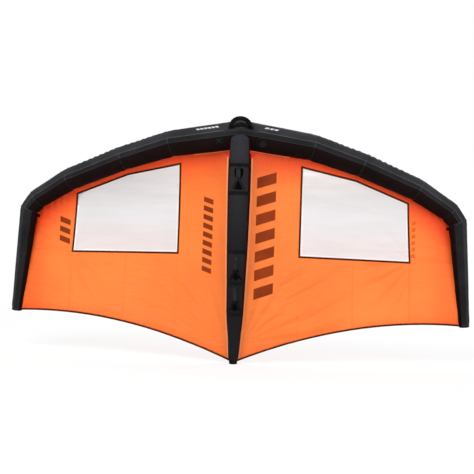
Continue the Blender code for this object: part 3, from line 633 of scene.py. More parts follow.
class Recipe:
    """Short way to write a material's nodes."""

    def __init__(self, name: str) -> None:
        """Starts a material with one Principled shader.

        Args:
            name: The material's name.
        """
        self.material = bpy.data.materials.new(name)
        self.material.use_nodes = True
        self.nodes = self.material.node_tree.nodes
        self.links = self.material.node_tree.links
        self.shader = self.nodes["Principled BSDF"]

    def add(self, kind: str, inputs: dict | None = None, **settings: object) -> bpy.types.Node:
        """Adds a node.

        Args:
            kind: The node's type.
            inputs: Value or socket for each input.
            **settings: The node's own settings.

        Returns:
            The node.
        """
        node = self.nodes.new(kind)
        for key, value in settings.items():
            setattr(node, key, value)
        for key, value in (inputs or {}).items():
            if isinstance(value, NodeSocket):
                self.links.new(value, node.inputs[key])
            else:
                node.inputs[key].default_value = value
        return node

    def flat(self) -> NodeSocket:
        """Place on the flat cloth, in metres."""
        return self.add("ShaderNodeTexCoord").outputs["UV"]

    def place(self) -> NodeSocket:
        """Place on the wing, in metres."""
        return self.add("ShaderNodeTexCoord").outputs["Object"]

    def stretch(self, where: NodeSocket, scale: Color) -> NodeSocket:
        """The same place, stretched."""
        return self.add("ShaderNodeMapping", {"Vector": where, "Scale": scale}).outputs[0]

    def grain(self, where: NodeSocket, scale: float, detail: float = 3) -> NodeSocket:
        """Soft noise from 0 to 1."""
        return self.add("ShaderNodeTexNoise", {"Vector": where, "Scale": scale, "Detail": detail}).outputs[0]

    def wave(self, where: NodeSocket, period: float, direction: str) -> NodeSocket:
        """Even waves from 0 to 1 of a period in metres.

        Args:
            where: The place.
            period: Their period in metres.
            direction: Their direction.

        Returns:
            The waves' height.
        """
        settings = {"bands_direction": direction, "wave_profile": "SIN"}
        inputs = {"Vector": where, "Scale": math.pi / (10 * period)}
        return self.add("ShaderNodeTexWave", inputs, **settings).outputs["Fac"]

    def calc(self, operation: str, first: object, second: object = 0.0) -> NodeSocket:
        """Arithmetic on one or two values."""
        return self.add("ShaderNodeMath", {0: first, 1: second}, operation=operation).outputs[0]

    def spread(self, value: object, low: float, high: float, first: float, last: float) -> NodeSocket:
        """Maps a range of values to another, held at its ends."""
        inputs = {"Value": value, "From Min": low, "From Max": high, "To Min": first, "To Max": last}
        return self.add("ShaderNodeMapRange", inputs).outputs[0]

    def tint(self, factor: object, first: object, second: object) -> NodeSocket:
        """Mixes two colours.

        Args:
            factor: Share of the second colour.
            first: The first colour.
            second: The second colour.

        Returns:
            The mixed colour.
        """
        colors = [(*c, 1) if isinstance(c, tuple) else c for c in (first, second)]
        inputs = {0: factor, 6: colors[0], 7: colors[1]}
        return self.add("ShaderNodeMix", inputs, data_type="RGBA").outputs[2]

    def relief(self, height: object, distance: float, under: object = None) -> NodeSocket:
        """Bumps of a height in metres, over other bumps if there are any.

        Args:
            height: Height from 0 to 1.
            distance: Height of the bumps.
            under: The bumps under them.

        Returns:
            The bumped normal.
        """
        inputs = {"Height": height, "Distance": distance, "Strength": 1.0}
        if under is not None:
            inputs["Normal"] = under
        return self.add("ShaderNodeBump", inputs).outputs[0]

    def set(self, **inputs: object) -> None:
        """Sets or links the shader's inputs, with _ for a blank in their names."""
        for key, value in inputs.items():
            socket = self.shader.inputs[key.replace("_", " ")]
            if isinstance(value, NodeSocket):
                self.links.new(value, socket)
            else:
                socket.default_value = (*value, 1) if isinstance(value, tuple) else value


@dataclass(frozen=True)
class Cloth:
    """Woven cloth with threads, faint clouds of colour, a soft sheen and, on sails, a ripstop grid."""

    name: str
    color: Color
    shade: Color
    roughness: float = 0.62
    thread: float = 0.0011
    relief: float = 0.00012
    grid: float = 0.0
    cloud: float = 5.0
    gloss: float = 0.05
    crease: float = 0.0006
    # Colour of the painted shade near the sail's rims, mixed in by each point's share.
    rim_shade_color: Color | None = None
    # Painted shade, darker towards the bottom: the lowest height, the height where it ends, and the share of black at
    # the lowest.
    fade: Color | None = None

    def make(self) -> Material:
        """Makes the material.

        Returns:
            The material.
        """
        r = Recipe(self.name)
        flat = r.flat()
        place = r.place()
        clouds = r.spread(r.grain(place, self.cloud, 4), 0.35, 0.65, 0, 1)
        color = r.tint(clouds, self.shade, self.color)
        # Painted shade: the sail turns darker and redder near its rims, and darker again where its folds slope.
        if self.rim_shade_color:
            near = r.add("ShaderNodeAttribute", attribute_name="painted_rim_shade_share").outputs["Fac"]
            color = r.tint(near, color, self.rim_shade_color)
            folds = r.add("ShaderNodeAttribute", attribute_name="painted_fold_shade").outputs["Fac"]
            color = r.tint(folds, color, (0.90, 0.150, 0.020))
        # Painted shade: darker towards the bottom.
        if self.fade:
            low, high, loss = self.fade
            height = r.add("ShaderNodeSeparateXYZ", {0: place}).outputs["Z"]
            color = r.tint(r.spread(height, low, high, loss, 0), color, (0, 0, 0))
        weave = r.calc("MULTIPLY", r.wave(flat, self.thread, "X"), r.wave(flat, self.thread, "Y"))
        # Painted shade between the threads, where the weave dips.
        color = r.tint(r.spread(weave, 0, 1, 0.16, 0), color, (0, 0, 0))
        fibre = r.grain(r.stretch(flat, (60, 900, 1)), 1, 2)
        color = r.tint(r.spread(fibre, 0.3, 0.7, 0.10, 0), color, (0, 0, 0))
        creases = r.grain(r.stretch(place, (3, 3, 9)), 3.2, 5)
        normal = r.relief(creases, self.crease * 8)
        if self.grid:
            lines = [r.spread(r.wave(flat, self.grid, direction), 0.93, 0.99, 0, 1) for direction in ("X", "Y")]
            grid = r.calc("MAXIMUM", *lines)
            color = r.tint(r.calc("MULTIPLY", grid, 0.06), color, (0.05, 0.0, 0.0))
            normal = r.relief(grid, 0.0002, normal)
        normal = r.relief(weave, self.relief, normal)
        rough = r.spread(r.grain(place, 14, 3), 0.3, 0.7, self.roughness - 0.06, self.roughness + 0.08)
        r.set(Base_Color=color, Roughness=rough, Normal=normal, Specular_IOR_Level=self.gloss)
        return r.material


@dataclass(frozen=True)
class Webbing:
    """Woven tape with slanted ribs, worn paler on their crests."""

    name: str
    color: Color
    worn: Color
    rib: float = 0.0018
    roughness: float = 0.7

    def make(self) -> Material:
        """Makes the material.

        Returns:
            The material.
        """
        r = Recipe(self.name)
        flat = r.flat()
        across = r.wave(flat, self.rib, "DIAGONAL")
        along = r.wave(flat, self.rib * 1.6, "Y")
        weave = r.calc("MULTIPLY", across, along)
        wear = r.spread(r.grain(r.place(), 40, 4), 0.52, 0.74, 0, 1)
        color = r.tint(r.calc("MULTIPLY", wear, weave), self.color, self.worn)
        # Painted shade between the ribs, where the weave dips.
        color = r.tint(r.spread(weave, 0, 1, 0.35, 0), color, (0, 0, 0))
        rough = r.spread(wear, 0, 1, self.roughness, self.roughness - 0.15)
        normal = r.relief(weave, 0.0004, r.relief(r.grain(flat, 260, 2), 0.0002))
        r.set(Base_Color=color, Roughness=rough, Normal=normal, Specular_IOR_Level=0.06)
        return r.material


@dataclass(frozen=True)
class Foam:
    """Closed cell foam or rubber with a fine grain and rubbed high spots."""

    name: str
    color: Color
    rubbed: Color
    grain: float = 420
    roughness: float = 0.78
    relief: float = 0.0003

    def make(self) -> Material:
        """Makes the material.

        Returns:
            The material.
        """
        r = Recipe(self.name)
        place = r.place()
        cells = r.add("ShaderNodeTexVoronoi", {"Vector": place, "Scale": self.grain}).outputs["Distance"]
        patches = r.spread(r.grain(place, 30, 4), 0.4, 0.7, 0, 1)
        color = r.tint(patches, self.color, self.rubbed)
        # Painted shade in the hollows of the cells.
        color = r.tint(r.spread(cells, 0.0, 0.5, 0.25, 0), color, (0, 0, 0))
        rough = r.spread(patches, 0, 1, self.roughness, self.roughness - 0.12)
        r.set(Base_Color=color, Roughness=rough, Normal=r.relief(cells, self.relief), Specular_IOR_Level=0.03)
        return r.material


@dataclass(frozen=True)
class Plastic:
    """Moulded plastic with a fine spark grain and light handling marks."""

    name: str
    color: Color
    mark: Color
    roughness: float = 0.42

    def make(self) -> Material:
        """Makes the material.

        Returns:
            The material.
        """
        r = Recipe(self.name)
        place = r.place()
        marks = r.spread(r.grain(r.stretch(place, (1, 4, 1)), 90, 5), 0.55, 0.75, 0, 1)
        color = r.tint(r.calc("MULTIPLY", marks, 0.4), self.color, self.mark)
        rough = r.spread(marks, 0, 1, self.roughness, self.roughness + 0.18)
        normal = r.relief(r.grain(place, 1500, 2), 0.00008)
        r.set(Base_Color=color, Roughness=rough, Normal=normal, Specular_IOR_Level=0.10)
        return r.material


@dataclass(frozen=True)
class Film:
    """Clear film with a colour that changes with the height as painted light, pinker low down and darker towards the
    top, long faint wrinkles darkened by painted shade, and flex marks.
    """

    name: str
    low_color: Color
    mid_color: Color
    top_color: Color
    roughness: float = 0.42
    clear: float = 0.8
    levels: Color = (0.80, 1.00, 1.27)

    def make(self) -> Material:
        """Makes the material.

        Returns:
            The material.
        """
        r = Recipe(self.name)
        place = r.place()
        height = r.add("ShaderNodeSeparateXYZ", {0: place}).outputs["Z"]
        low, mid, top = self.levels
        # Painted light: the film is pinker low down and darker towards the top.
        color = r.tint(r.spread(height, low, mid, 0, 1), self.low_color, self.mid_color)
        color = r.tint(r.spread(height, mid, top, 0, 1), color, self.top_color)
        bands = r.grain(r.stretch(place, (1.0, 1, 8)), 2.6, 3)
        # Painted shade in the dips of the wrinkle bands, stronger towards the top.
        wrinkle_shade = r.calc("MULTIPLY", r.spread(bands, 0.42, 0.62, 1, 0), r.spread(height, mid, top, 0.07, 0.16))
        color = r.tint(wrinkle_shade, color, (0.35, 0.34, 0.34))
        flex = r.spread(r.grain(r.stretch(place, (1, 1, 5)), 22, 6), 0.6, 0.8, 0, 1)
        rough = r.spread(flex, 0, 1, self.roughness, self.roughness + 0.2)
        normal = r.relief(bands, 0.004)
        r.set(Base_Color=color, Roughness=rough, Normal=normal, IOR=1.2, Transmission_Weight=self.clear)
        return r.material


@dataclass(frozen=True)
class Yarn:
    """Bonded sewing thread: fine twisted strands."""

    name: str
    color: Color

    def make(self) -> Material:
        """Makes the material.

        Returns:
            The material.
        """
        r = Recipe(self.name)
        twist = r.grain(r.place(), 900, 2)
        # Painted shade in the twist's grooves, where the bump is low.
        r.set(Base_Color=r.tint(r.spread(twist, 0.3, 0.7, 0.3, 0), self.color, (0, 0, 0)), Roughness=0.6)
        r.set(Normal=r.relief(twist, 0.0002), Specular_IOR_Level=0.2)
        return r.material


class Palette:
    """Every finish of the wing, made once."""

    def __init__(self) -> None:
        """Makes the materials."""
        seam = {"thread": 0.0016}
        self.upper_cloth = Cloth(
            "tube_cloth_upper", (0.038, 0.0375, 0.0425), (0.022, 0.0215, 0.0245), crease=0.0015
        ).make()
        self.lap_cloth = Cloth("lap_cloth", (0.018, 0.0175, 0.019), (0.010, 0.0098, 0.011), crease=0.0015).make()
        # The lower cloth and lower tape are near black: partly a darker panel than the upper ones, partly painted
        # shade on the tube's lower side. Their red tint is a painted reflection of the orange sail.
        self.lower_cloth = Cloth("tube_cloth_lower", (0.0085, 0.0031, 0.0025), (0.0048, 0.0020, 0.0017)).make()
        self.upper_seam = Cloth("upper_seam_tape", (0.037, 0.037, 0.042), (0.026, 0.026, 0.030), **seam).make()
        self.lower_seam = Cloth("lower_seam_tape", (0.0095, 0.0080, 0.0080), (0.006, 0.0050, 0.0050), **seam).make()
        self.piping = Cloth("seam_piping", (0.115, 0.115, 0.120), (0.080, 0.080, 0.085), **seam).make()
        # Painted shade: the strut's cloth darkens towards the bottom.
        self.strut_cloth = Cloth(
            "strut_cloth", (0.031, 0.031, 0.036), (0.024, 0.024, 0.028), fade=(0.80, 1.45, 0.62)
        ).make()
        # Painted shade with a painted red reflection of the sail: the strut's sides, the patches' sides and the strip
        # of sail beside the strut.
        self.painted_side_shade = Cloth(
            "painted_side_shade_cloth", (0.030, 0.0034, 0.0009), (0.019, 0.0023, 0.0007), gloss=0.02
        ).make()
        # Painted shade: the handle patches' cloth darkens towards the bottom.
        self.patch_cloth = Cloth(
            "patch_cloth", (0.029, 0.029, 0.033), (0.021, 0.021, 0.024), thread=0.0019, relief=0.0003,
            fade=(0.45, 1.45, 0.55)
        ).make()
        self.dark_tape = Cloth(
            "dark_tape", (0.085, 0.018, 0.005), (0.055, 0.012, 0.004), thread=0.0015, gloss=0.02
        ).make()
        # Painted shade: the sail and its seams turn to this darker red near the tube, the tip and the hem.
        painted_rim_shade = (0.88, 0.058, 0.006)
        ripstop = {"roughness": 0.5, "grid": 0.006}
        laid_on = {"thread": 0.0010, "relief": 0.00008}
        self.sail = Cloth(
            "orange_ripstop", (1.0, 0.235, 0.040), (0.97, 0.200, 0.033), thread=0.0007, relief=0.00004, cloud=2.2,
            gloss=0.2, crease=0.0010, rim_shade_color=painted_rim_shade, **ripstop
        ).make()
        self.sail_strip = Cloth("orange_strip", (1.0, 0.36, 0.17), (0.98, 0.31, 0.14), **laid_on, **ripstop).make()
        self.sail_seam = Cloth(
            "orange_seam", (1.0, 0.228, 0.039), (0.97, 0.195, 0.033), rim_shade_color=painted_rim_shade, **laid_on, **ripstop
        ).make()
        self.red_patch = Cloth("red_patch", (0.90, 0.075, 0.026), (0.80, 0.050, 0.016), **ripstop).make()
        self.print_front = Cloth("print_through", (0.31, 0.044, 0.007), (0.23, 0.032, 0.006), roughness=0.55).make()
        self.print_faint = Cloth("print_faint", (0.78, 0.135, 0.022), (0.70, 0.110, 0.018), roughness=0.55).make()
        self.print_back = Cloth("print_back", (0.012, 0.010, 0.010), (0.008, 0.007, 0.007), roughness=0.5).make()
        self.pale_print = Cloth("pale_print", (0.72, 0.72, 0.74), (0.58, 0.58, 0.61), roughness=0.5).make()
        self.webbing = Webbing("black_webbing", (0.0055, 0.0052, 0.0056), (0.016, 0.016, 0.017)).make()
        self.grey_webbing = Webbing("charcoal_webbing", (0.016, 0.0155, 0.018), (0.030, 0.030, 0.033)).make()
        self.foam = Foam("grip_foam", (0.014, 0.0135, 0.0155), (0.024, 0.024, 0.027)).make()
        # Painted shadow: near-black sheets in the gaps under the strut handles' grips.
        self.non_slip = Foam("non_slip_panel", (0.0008, 0.0008, 0.0009), (0.0020, 0.0020, 0.0022), grain=700).make()
        self.grip_rubber = Foam("grip_rubber", (0.0030, 0.0030, 0.0034), (0.011, 0.011, 0.012), grain=300).make()
        self.plastic = Plastic("black_plastic", (0.0030, 0.0030, 0.0034), (0.016, 0.016, 0.017)).make()
        self.grey_plastic = Plastic("dark_grey_plastic", (0.0050, 0.0055, 0.0055), (0.020, 0.021, 0.021)).make()
        self.film = Film("window_film", (0.838, 0.760, 0.753), (0.800, 0.783, 0.790), (0.690, 0.645, 0.640)).make()
        self.film_border = Film(
            "window_film_border", (0.98, 0.96, 0.96), (0.95, 0.93, 0.92), (0.86, 0.83, 0.81),
            roughness=0.5, clear=0.35
        ).make()
        self.bladder_film = Film(
            "bladder_film", (0.80, 0.84, 0.86), (0.75, 0.79, 0.81), (0.7, 0.74, 0.76), roughness=0.35, clear=0.6
        ).make()
        self.grey_thread = Yarn("grey_thread", (0.085, 0.085, 0.090)).make()
        self.pale_thread = Yarn("pale_thread", (0.26, 0.25, 0.22)).make()
        self.dark_thread = Yarn("dark_thread", (0.035, 0.035, 0.039)).make()
        self.red_thread = Yarn("red_thread", (0.55, 0.06, 0.02)).make()


# Sub-assemblies.


@dataclass
class EdgeTube:
    """One side of the leading edge: six sewn cloth panels, their seams and the closed tip."""

    side: Side
    lines: WingLines
    palette: Palette
    panels: tuple[str, ...] = ("edge_center", "edge_mid", "edge_outer", "edge_shoulder", "edge_corner", "tip_tube")
    step: float = 0.006
    seam_band: float = 0.0062
    lap_low: float = math.radians(-3)
    lap_high: float = math.radians(17)
    upper_end: float = math.radians(215)
    scallop: float = 0.043
    seam_pinch: float = 0.0022
    band_rise: float = 0.0011
    lap_rise: float = 0.0013
    pucker_rise: float = 0.0014
    crease_rise: float = 0.0026
    scallop_rise: float = 0.0085
    shoulder_rise: float = 0.0045
    stitch_lift: float = 0.0002
    print_lift: float = 0.0004
    cap_profile: tuple[Flat, ...] = (
        (1.0, 0.0), (0.99, 0.004), (0.93, 0.008), (0.8, 0.0105), (0.55, 0.0118), (0.25, 0.012), (0.02, 0.0118)
    )

    def clocks(self) -> list[float]:
        """Clock angles of the points round the tube, once round and closed.

        Returns:
            The angles in rising order.
        """
        marks = {float(angle) for angle in range(-140, 221, 5)}
        marks |= {-5.0, -3.0, 17.0, 19.2}
        return [math.radians(angle) for angle in sorted(marks)]

    def relief(self, panel: int, share: float, length: float, clock: float, spot: Vector) -> float:
        """How far the cloth stands off the plain tube: seams, lap, puckers and folds.

        Args:
            panel: The panel's number from the centre.
            share: Place along it, from 0 to 1.
            length: Its length.
            clock: Clock angle.
            spot: The plain point, for the noise.

        Returns:
            The height in metres.
        """
        low = share * length
        high = (1 - share) * length
        near = min(low, high) if panel else (high if low > high else 9.0)
        puffed = -self.seam_pinch * bell(near, 0.022)
        band = self.band_rise * (1 - smooth((near - self.seam_band + 0.001) / 0.001))
        lap = self.lap_rise if self.lap_low <= clock <= self.lap_high else 0.0
        wave = noise.noise(Vector((clock * 3.1, panel * 5.7, low * 4)))
        pucker = self.pucker_rise * bell(near - 0.026, 0.026) * math.sin(clock * 23 + 4 * wave + panel)
        inner = max(0.0, -math.sin(clock)) if 0 < panel else 0.0
        pucker += self.crease_rise * inner * bell(near - 0.03, 0.045) * math.sin(clock * 15 + panel * 2 + 5 * wave)
        pucker *= smooth((near - self.seam_band) / 0.016)
        top = 0.0
        if 1 <= panel <= 3:
            ridge = bell(clock - math.radians(92), math.radians(17))
            bumps = abs(math.sin(math.pi * low / self.scallop + 0.7 * wave))
            rough = 0.25 + 0.75 * smooth((spot.x - 0.58) / 0.12) * smooth((1.22 - spot.x) / 0.12)
            top = self.scallop_rise * rough * ridge * (bumps - 0.62) * smooth(near / 0.02)
        elif panel == 0:
            top = self.shoulder_rise * bell(low, 0.050) * bell(clock - math.radians(80), math.radians(32))
        folds = 0.0016 * noise.noise(spot * 6) + 0.0007 * noise.noise(spot * 19)
        return puffed + band + lap + pucker + top + folds

    def panel_point(self, rings: list[Ring], panel: int, share: float, clock: float, lift: float) -> Vector:
        """Point on a panel's dressed skin.

        Args:
            rings: The tube's rings.
            panel: The panel's number from the centre.
            share: Place along it, from 0 to 1.
            clock: Clock angle.
            lift: Distance from the skin.

        Returns:
            The point, on the right side.
        """
        first, last = rings[panel], rings[panel + 1]
        length = (last.centre - first.centre).length
        plain = first.point(clock, 0).lerp(last.point(clock, 0), share)
        rise = self.relief(panel, share, length, clock, plain) + lift
        return first.point(clock, rise).lerp(last.point(clock, rise), share)

    def panel(self, rings: list[Ring], index: int) -> Object:
        """Builds one cloth panel.

        Args:
            rings: The tube's rings.
            index: The panel's number from the centre.

        Returns:
            The panel.
        """
        first, last = rings[index], rings[index + 1]
        length = (last.centre - first.centre).length
        marks = [self.seam_band, self.seam_band - 0.0012]
        distances = steps(0, length, self.step, marks + [length - mark for mark in marks])
        clocks = self.clocks()
        radius = (first.radius + last.radius) / 2
        rows, flats = [], []
        for distance in distances:
            share = distance / length
            row = [self.panel_point(rings, index, share, clock, 0) for clock in clocks[:-1]]
            rows.append([self.side.turn(point) for point in row + row[:1]])
            flats.append([(distance, clock * radius) for clock in clocks])

        def finish(i: int, j: int) -> int:
            """Upper, lap or lower cloth, their seam tape, or the piping at the lap's edges.

            Args:
                i: The face's row.
                j: Its column.

            Returns:
                The finish's number.
            """
            middle = (distances[i] + distances[i + 1]) / 2
            clock = (clocks[j] + clocks[j + 1]) / 2
            below, above = clock - self.lap_low, clock - self.lap_high
            if index < 5 and 0 < above < 0.0385:
                return 4
            if index < 5 and -0.035 < below < 0:
                return 2
            tape = min(middle + (9 if index == 0 else 0), length - middle) < self.seam_band - 0.001
            if above < 0 and below > (-0.6 if index == 5 else 0):
                return 2 if tape else 5
            # Lower cloth below the lap and round the back: partly a darker panel, partly painted shade with a painted
            # red reflection of the sail.
            return (0 if 0 < above and clock < self.upper_end else 1) + 2 * tape

        work = Patchwork().grid(rows, flats, finish)
        node = f"{self.panels[index]}_{self.side.word}"
        colors = self.palette
        finishes = [colors.upper_cloth, colors.lower_cloth, colors.upper_seam, colors.lower_seam]
        finishes += [colors.piping, colors.lap_cloth]
        piece = work.build(f"{node}_cloth", finishes, weld=True, node=node, slot="black_sailcloth")
        return piece

    def cap(self, rings: list[Ring]) -> Object:
        """Builds the gathered cloth that closes the tip.

        Args:
            rings: The tube's rings.

        Returns:
            The cap.
        """
        end = rings[-1]
        along = (end.centre - rings[-2].centre).normalized()
        clocks = self.clocks()
        rows, flats = [], []
        for share, depth in self.cap_profile:
            row = []
            for clock in clocks[:-1]:
                gather = 0.0012 * math.sin(clock * 13) * share * (1 - share) * 4
                spot = end.centre + (end.point(clock, 0) - end.centre) * share
                row.append(spot + along * (depth + gather + 0.0004))
            rows.append([self.side.turn(point) for point in row + row[:1]])
            flats.append([(share * end.radius, clock * end.radius) for clock in clocks])
        work = Patchwork().grid(rows, flats)
        node = f"tip_cap_{self.side.word}"
        return work.build(f"{node}_cloth", [self.palette.lower_cloth], weld=True, node=node, slot="black_sailcloth")

    def seams(self, rings: list[Ring]) -> list[Object]:
        """Sews the panel seams round the tube and the lap seam along it.

        Args:
            rings: The tube's rings.

        Returns:
            The stitches across and along.
        """
        turned = self.side.turn
        across = Thread(
            f"edge_seam_stitches_{self.side.word}", length=0.0050, pitch=0.0068, width=0.0013, height=0.0006
        )
        clocks = steps(math.radians(-140), math.radians(215), math.radians(4))
        for index in range(1, 6):
            for panel, distance in ((index - 1, -0.0034), (index, 0.0034)):
                length = (rings[panel + 1].centre - rings[panel].centre).length
                share = distance / length if distance > 0 else 1 + distance / length
                points = [self.panel_point(rings, panel, share, clock, self.stitch_lift) for clock in clocks]
                normals = [(p - rings[index].centre).normalized() for p in points]
                across.run([turned(p) for p in points], [turned(n) for n in normals])
        along = Thread(f"edge_lap_stitches_{self.side.word}", pitch=0.0085)
        for clock in (self.lap_low + 0.03, self.lap_high - 0.03, math.radians(97)):
            points, normals = [], []
            for panel in range(5):
                if clock > 1 and not 1 <= panel <= 3:
                    continue
                for share in steps(0, 1, 0.02):
                    point = self.panel_point(rings, panel, share, clock, self.stitch_lift)
                    centre = rings[panel].centre.lerp(rings[panel + 1].centre, share)
                    points.append(turned(point))
                    normals.append(turned((point - centre).normalized()))
            along.run(points, normals)
        return [across.build(self.palette.grey_thread), along.build(self.palette.dark_thread)]

    def marks(self, rings: list[Ring]) -> Object:
        """Builds the pale slanted dashes on the front of the centre panel.

        Args:
            rings: The tube's rings.

        Returns:
            The dashes.
        """
        low, high = ((0.150, 0.302) if self.side is Side.LEFT else (0.160, 0.252))
        work = Patchwork()
        length = (rings[1].centre - rings[0].centre).length
        count = 6 if self.side is Side.LEFT else 3
        for index in range(count):
            start = low + (high - low) * index / count
            rows = []
            for clock in steps(math.radians(38), math.radians(47), math.radians(2.5)):
                lean = 0.012 * (clock - math.radians(42.5)) / math.radians(9)
                row = [
                    self.panel_point(rings, 0, (start + lean + place) / length, clock, self.print_lift)
                    for place in steps(0, (high - low) / count * 0.76, 0.005)
                ]
                rows.append([self.side.turn(point) for point in row])
            work.grid(rows, [[(abs(point.x), point.z) for point in row] for row in rows])
        name = f"edge_dashes_{self.side.word}"
        return work.build(name, [self.palette.pale_print], 0.0003, face_to=Vector((0, -0.7, 0.7)))

    def build(self) -> list[Object]:
        """Builds this side of the leading edge.

        Returns:
            Its pieces.
        """
        rings = self.lines.rings()
        pieces = [self.panel(rings, index) for index in range(6)]
        pieces.append(self.cap(rings))
        pieces.extend(self.seams(rings))
        pieces.append(self.marks(rings))
        return pieces


@dataclass
class Strut:
    """The strut's sleeve with its domed nose, the five bands and the end knob."""

    lines: WingLines
    palette: Palette
    step: float = 0.008
    turns: int = 64
    dome: float = 0.066
    dome_power: float = 2.3
    nose_drop: float = 0.006
    front_turn: float = math.radians(60)
    foot: float = 0.0279
    bands: tuple[float, ...] = (0.862, 0.742, 0.488, 0.351, 0.217)
    band_width: float = 0.022
    band_lift: float = 0.0003
    band_thickness: float = 0.0044
    wrap_turn: float = math.acos(-0.30)
    flutes: int = 18
    flute_depth: float = 0.0010
    flute_low: float = 0.005
    flute_high: float = 0.0218
    band_pinch: float = 0.0010
    band_gather: float = 0.0006
    tail_gather: float = 0.0012
    side_seam: float = 0.0009
    fold_rise: float = 0.0011
    knob_profile: tuple[Flat, ...] = (
        (0.020, 0.0001), (0.0238, 0.0008), (0.0262, 0.0028), (0.0272, 0.0060), (0.0275, 0.0100), (0.0275, 0.0180),
        (0.0275, 0.0215), (0.0262, 0.0222), (0.0262, 0.0238), (0.0275, 0.0244), (0.0275, 0.0275)
    )

    def skin_radius(self, height: float) -> float:
        """Radius of the dressed sleeve, closed by its dome at the nose.

        Args:
            height: Height over the tail.

        Returns:
            The radius.
        """
        start = self.lines.strut_length - self.nose_drop - self.dome
        if height <= start:
            return self.lines.strut_radius(height)
        share = (height - start) / self.dome
        return self.lines.strut_radius(start) * max(0.0, 1 - share**self.dome_power) ** (1 / self.dome_power)

    def sleeve(self) -> Object:
        """Builds the sleeve.

        Returns:
            The sleeve.
        """
        length = self.lines.strut_length
        marks = [share * length + d for share in self.bands for d in (-0.012, 0.012)]
        start = length - self.nose_drop - self.dome
        heights = steps(self.foot, start, self.step, marks)
        heights += [start + self.dome * math.sin(math.pi / 2 * index / 22) for index in range(1, 22)]
        heights.append(start + self.dome * 0.9995)
        rings, girths = [], []
        turns = turns_round(self.turns, math.pi)
        travelled, before = 0.0, (self.skin_radius(self.foot), self.foot)
        for height in heights:
            axis = Vector((0, self.lines.strut_axis(height), height))
            radius = self.skin_radius(height)
            travelled += math.hypot(radius - before[0], height - before[1])
            before = (radius, height)
            near = min(abs(height - share * length) for share in self.bands)
            ring = []
            for turn in turns:
                outward = Vector((math.sin(turn), -math.cos(turn), 0))
                pinch = -self.band_pinch * bell(near, 0.020)
                gather = self.band_gather * bell(near - 0.017, 0.014) * math.sin(turn * 19)
                tail = self.tail_gather * bell(height - self.foot, 0.05) * math.sin(turn * 11)
                seam = self.side_seam * bell(math.acos(max(-1, min(1, math.cos(turn)))) - self.front_turn, 0.06)
                folds = self.fold_rise * noise.noise(Vector((math.sin(turn) * 1.2, math.cos(turn) * 1.2, height * 7)))
                rise = (pinch + gather + tail + seam + folds) * min(1, radius / 0.03)
                ring.append(axis + outward * (radius + rise))
            rings.append(ring)
            girths.append((max(radius, 0.02), travelled))

        def finish(i: int, j: int) -> int:
            """Charcoal front, and sides in painted shade with a painted red reflection of the sail."""
            front = math.cos(turns[j] + math.pi / self.turns) > math.cos(self.front_turn)
            return 0 if front or heights[i] > start + 0.025 else 1

        work = Patchwork().tube(rings, girths, finish)
        finishes = [self.palette.strut_cloth, self.palette.painted_side_shade]
        piece = work.build("strut_sleeve_cloth", finishes, weld=True, node="strut_sleeve", slot="black_sailcloth")
        return piece

    def wrap(self, low: float, high: float, lift: float) -> Patchwork:
        """Sheet round the rider's side of the strut, with finish 0 in front and 1 on its sides.

        Args:
            low: Lower height.
            high: Upper height.
            lift: Distance of its middle from the skin.

        Returns:
            The sheet.
        """
        heights = steps(low, high, 0.006)
        turns = steps(-self.wrap_turn, self.wrap_turn, math.radians(4), (-self.front_turn, self.front_turn))
        rows = [[self.lines.strut_round(height, turn, lift) for turn in turns] for height in heights]
        flats = [[(turn * 0.07, height) for turn in turns] for height in heights]

        def side(_: int, j: int) -> int:
            """Front or side of the wrap."""
            return int(abs(turns[j] + turns[j + 1]) / 2 > self.front_turn)

        return Patchwork().grid(rows, flats, side)

    def band(self, number: int) -> Object:
        """Builds a band, a webbing of two layers with rolled edges.

        Args:
            number: Its number from the top.

        Returns:
            The band.
        """
        middle = self.bands[number - 1] * self.lines.strut_length
        half = self.band_width / 2
        lift = self.band_lift + self.band_thickness / 2
        work = self.wrap(middle - half + 0.0004, middle + half - 0.0004, lift)
        node = f"strut_band_{number}"
        return work.build(
            f"{node}_webbing", [self.palette.webbing] * 2, self.band_thickness - EASE, ROLLED_EDGE, TO_RIDER,
            node=node, slot="black_webbing"
        )

    def stitches(self) -> Object:
        """Sews the bands' edges and the sleeve's two side seams.

        Returns:
            The stitches.
        """
        thread = Thread("strut_stitches", length=0.0042, pitch=0.006, width=0.0011)
        turns = steps(-self.wrap_turn + 0.04, self.wrap_turn - 0.04, math.radians(4))
        for share in self.bands:
            for distance in (-0.0075, 0.0075):
                height = share * self.lines.strut_length + distance
                lift = self.band_lift + self.band_thickness + 0.0001
                points = [self.lines.strut_round(height, turn, lift) for turn in turns]
                normals = [Vector((math.sin(turn), -math.cos(turn), 0)) for turn in turns]
                thread.run(points, normals)
        for side in Side:
            turn = side.value * (self.front_turn + 0.05)
            normal = Vector((math.sin(turn), -math.cos(turn), 0))
            edges = [0.06] + [share * self.lines.strut_length for share in reversed(self.bands)]
            runs = [(edges[0], edges[1] - 0.014), (edges[3] + 0.014, edges[4] - 0.014), (edges[5] + 0.014, 1.46)]
            for low, high in runs:
                thread.run([self.lines.strut_round(height, turn, 0.0012) for height in steps(low, high, 0.02)], normal)
        return thread.build(self.palette.dark_thread)

    def knob(self) -> Object:
        """Builds the moulded knob that closes the tail, with its grip flutes.

        Returns:
            The knob.
        """
        rings = []
        for radius, height in self.knob_profile:
            ring = []
            for turn in turns_round(72):
                wide = radius
                if self.flute_low < height < self.flute_high:
                    wide -= self.flute_depth * (0.5 - 0.5 * math.cos(turn * self.flutes))
                ring.append(Vector((wide * math.sin(turn), -wide * math.cos(turn), height)))
            rings.append(ring)
        work = Patchwork().tube(rings, self.knob_profile)
        finishes = [self.palette.grip_rubber]
        return work.build("strut_end_knob", finishes, weld=True, node="strut_end_cap", slot="black_foam")

    def build(self) -> list[Object]:
        """Builds the strut."""
        bands = [self.band(number) for number in range(1, len(self.bands) + 1)]
        return [self.sleeve(), *bands, self.stitches(), self.knob()]


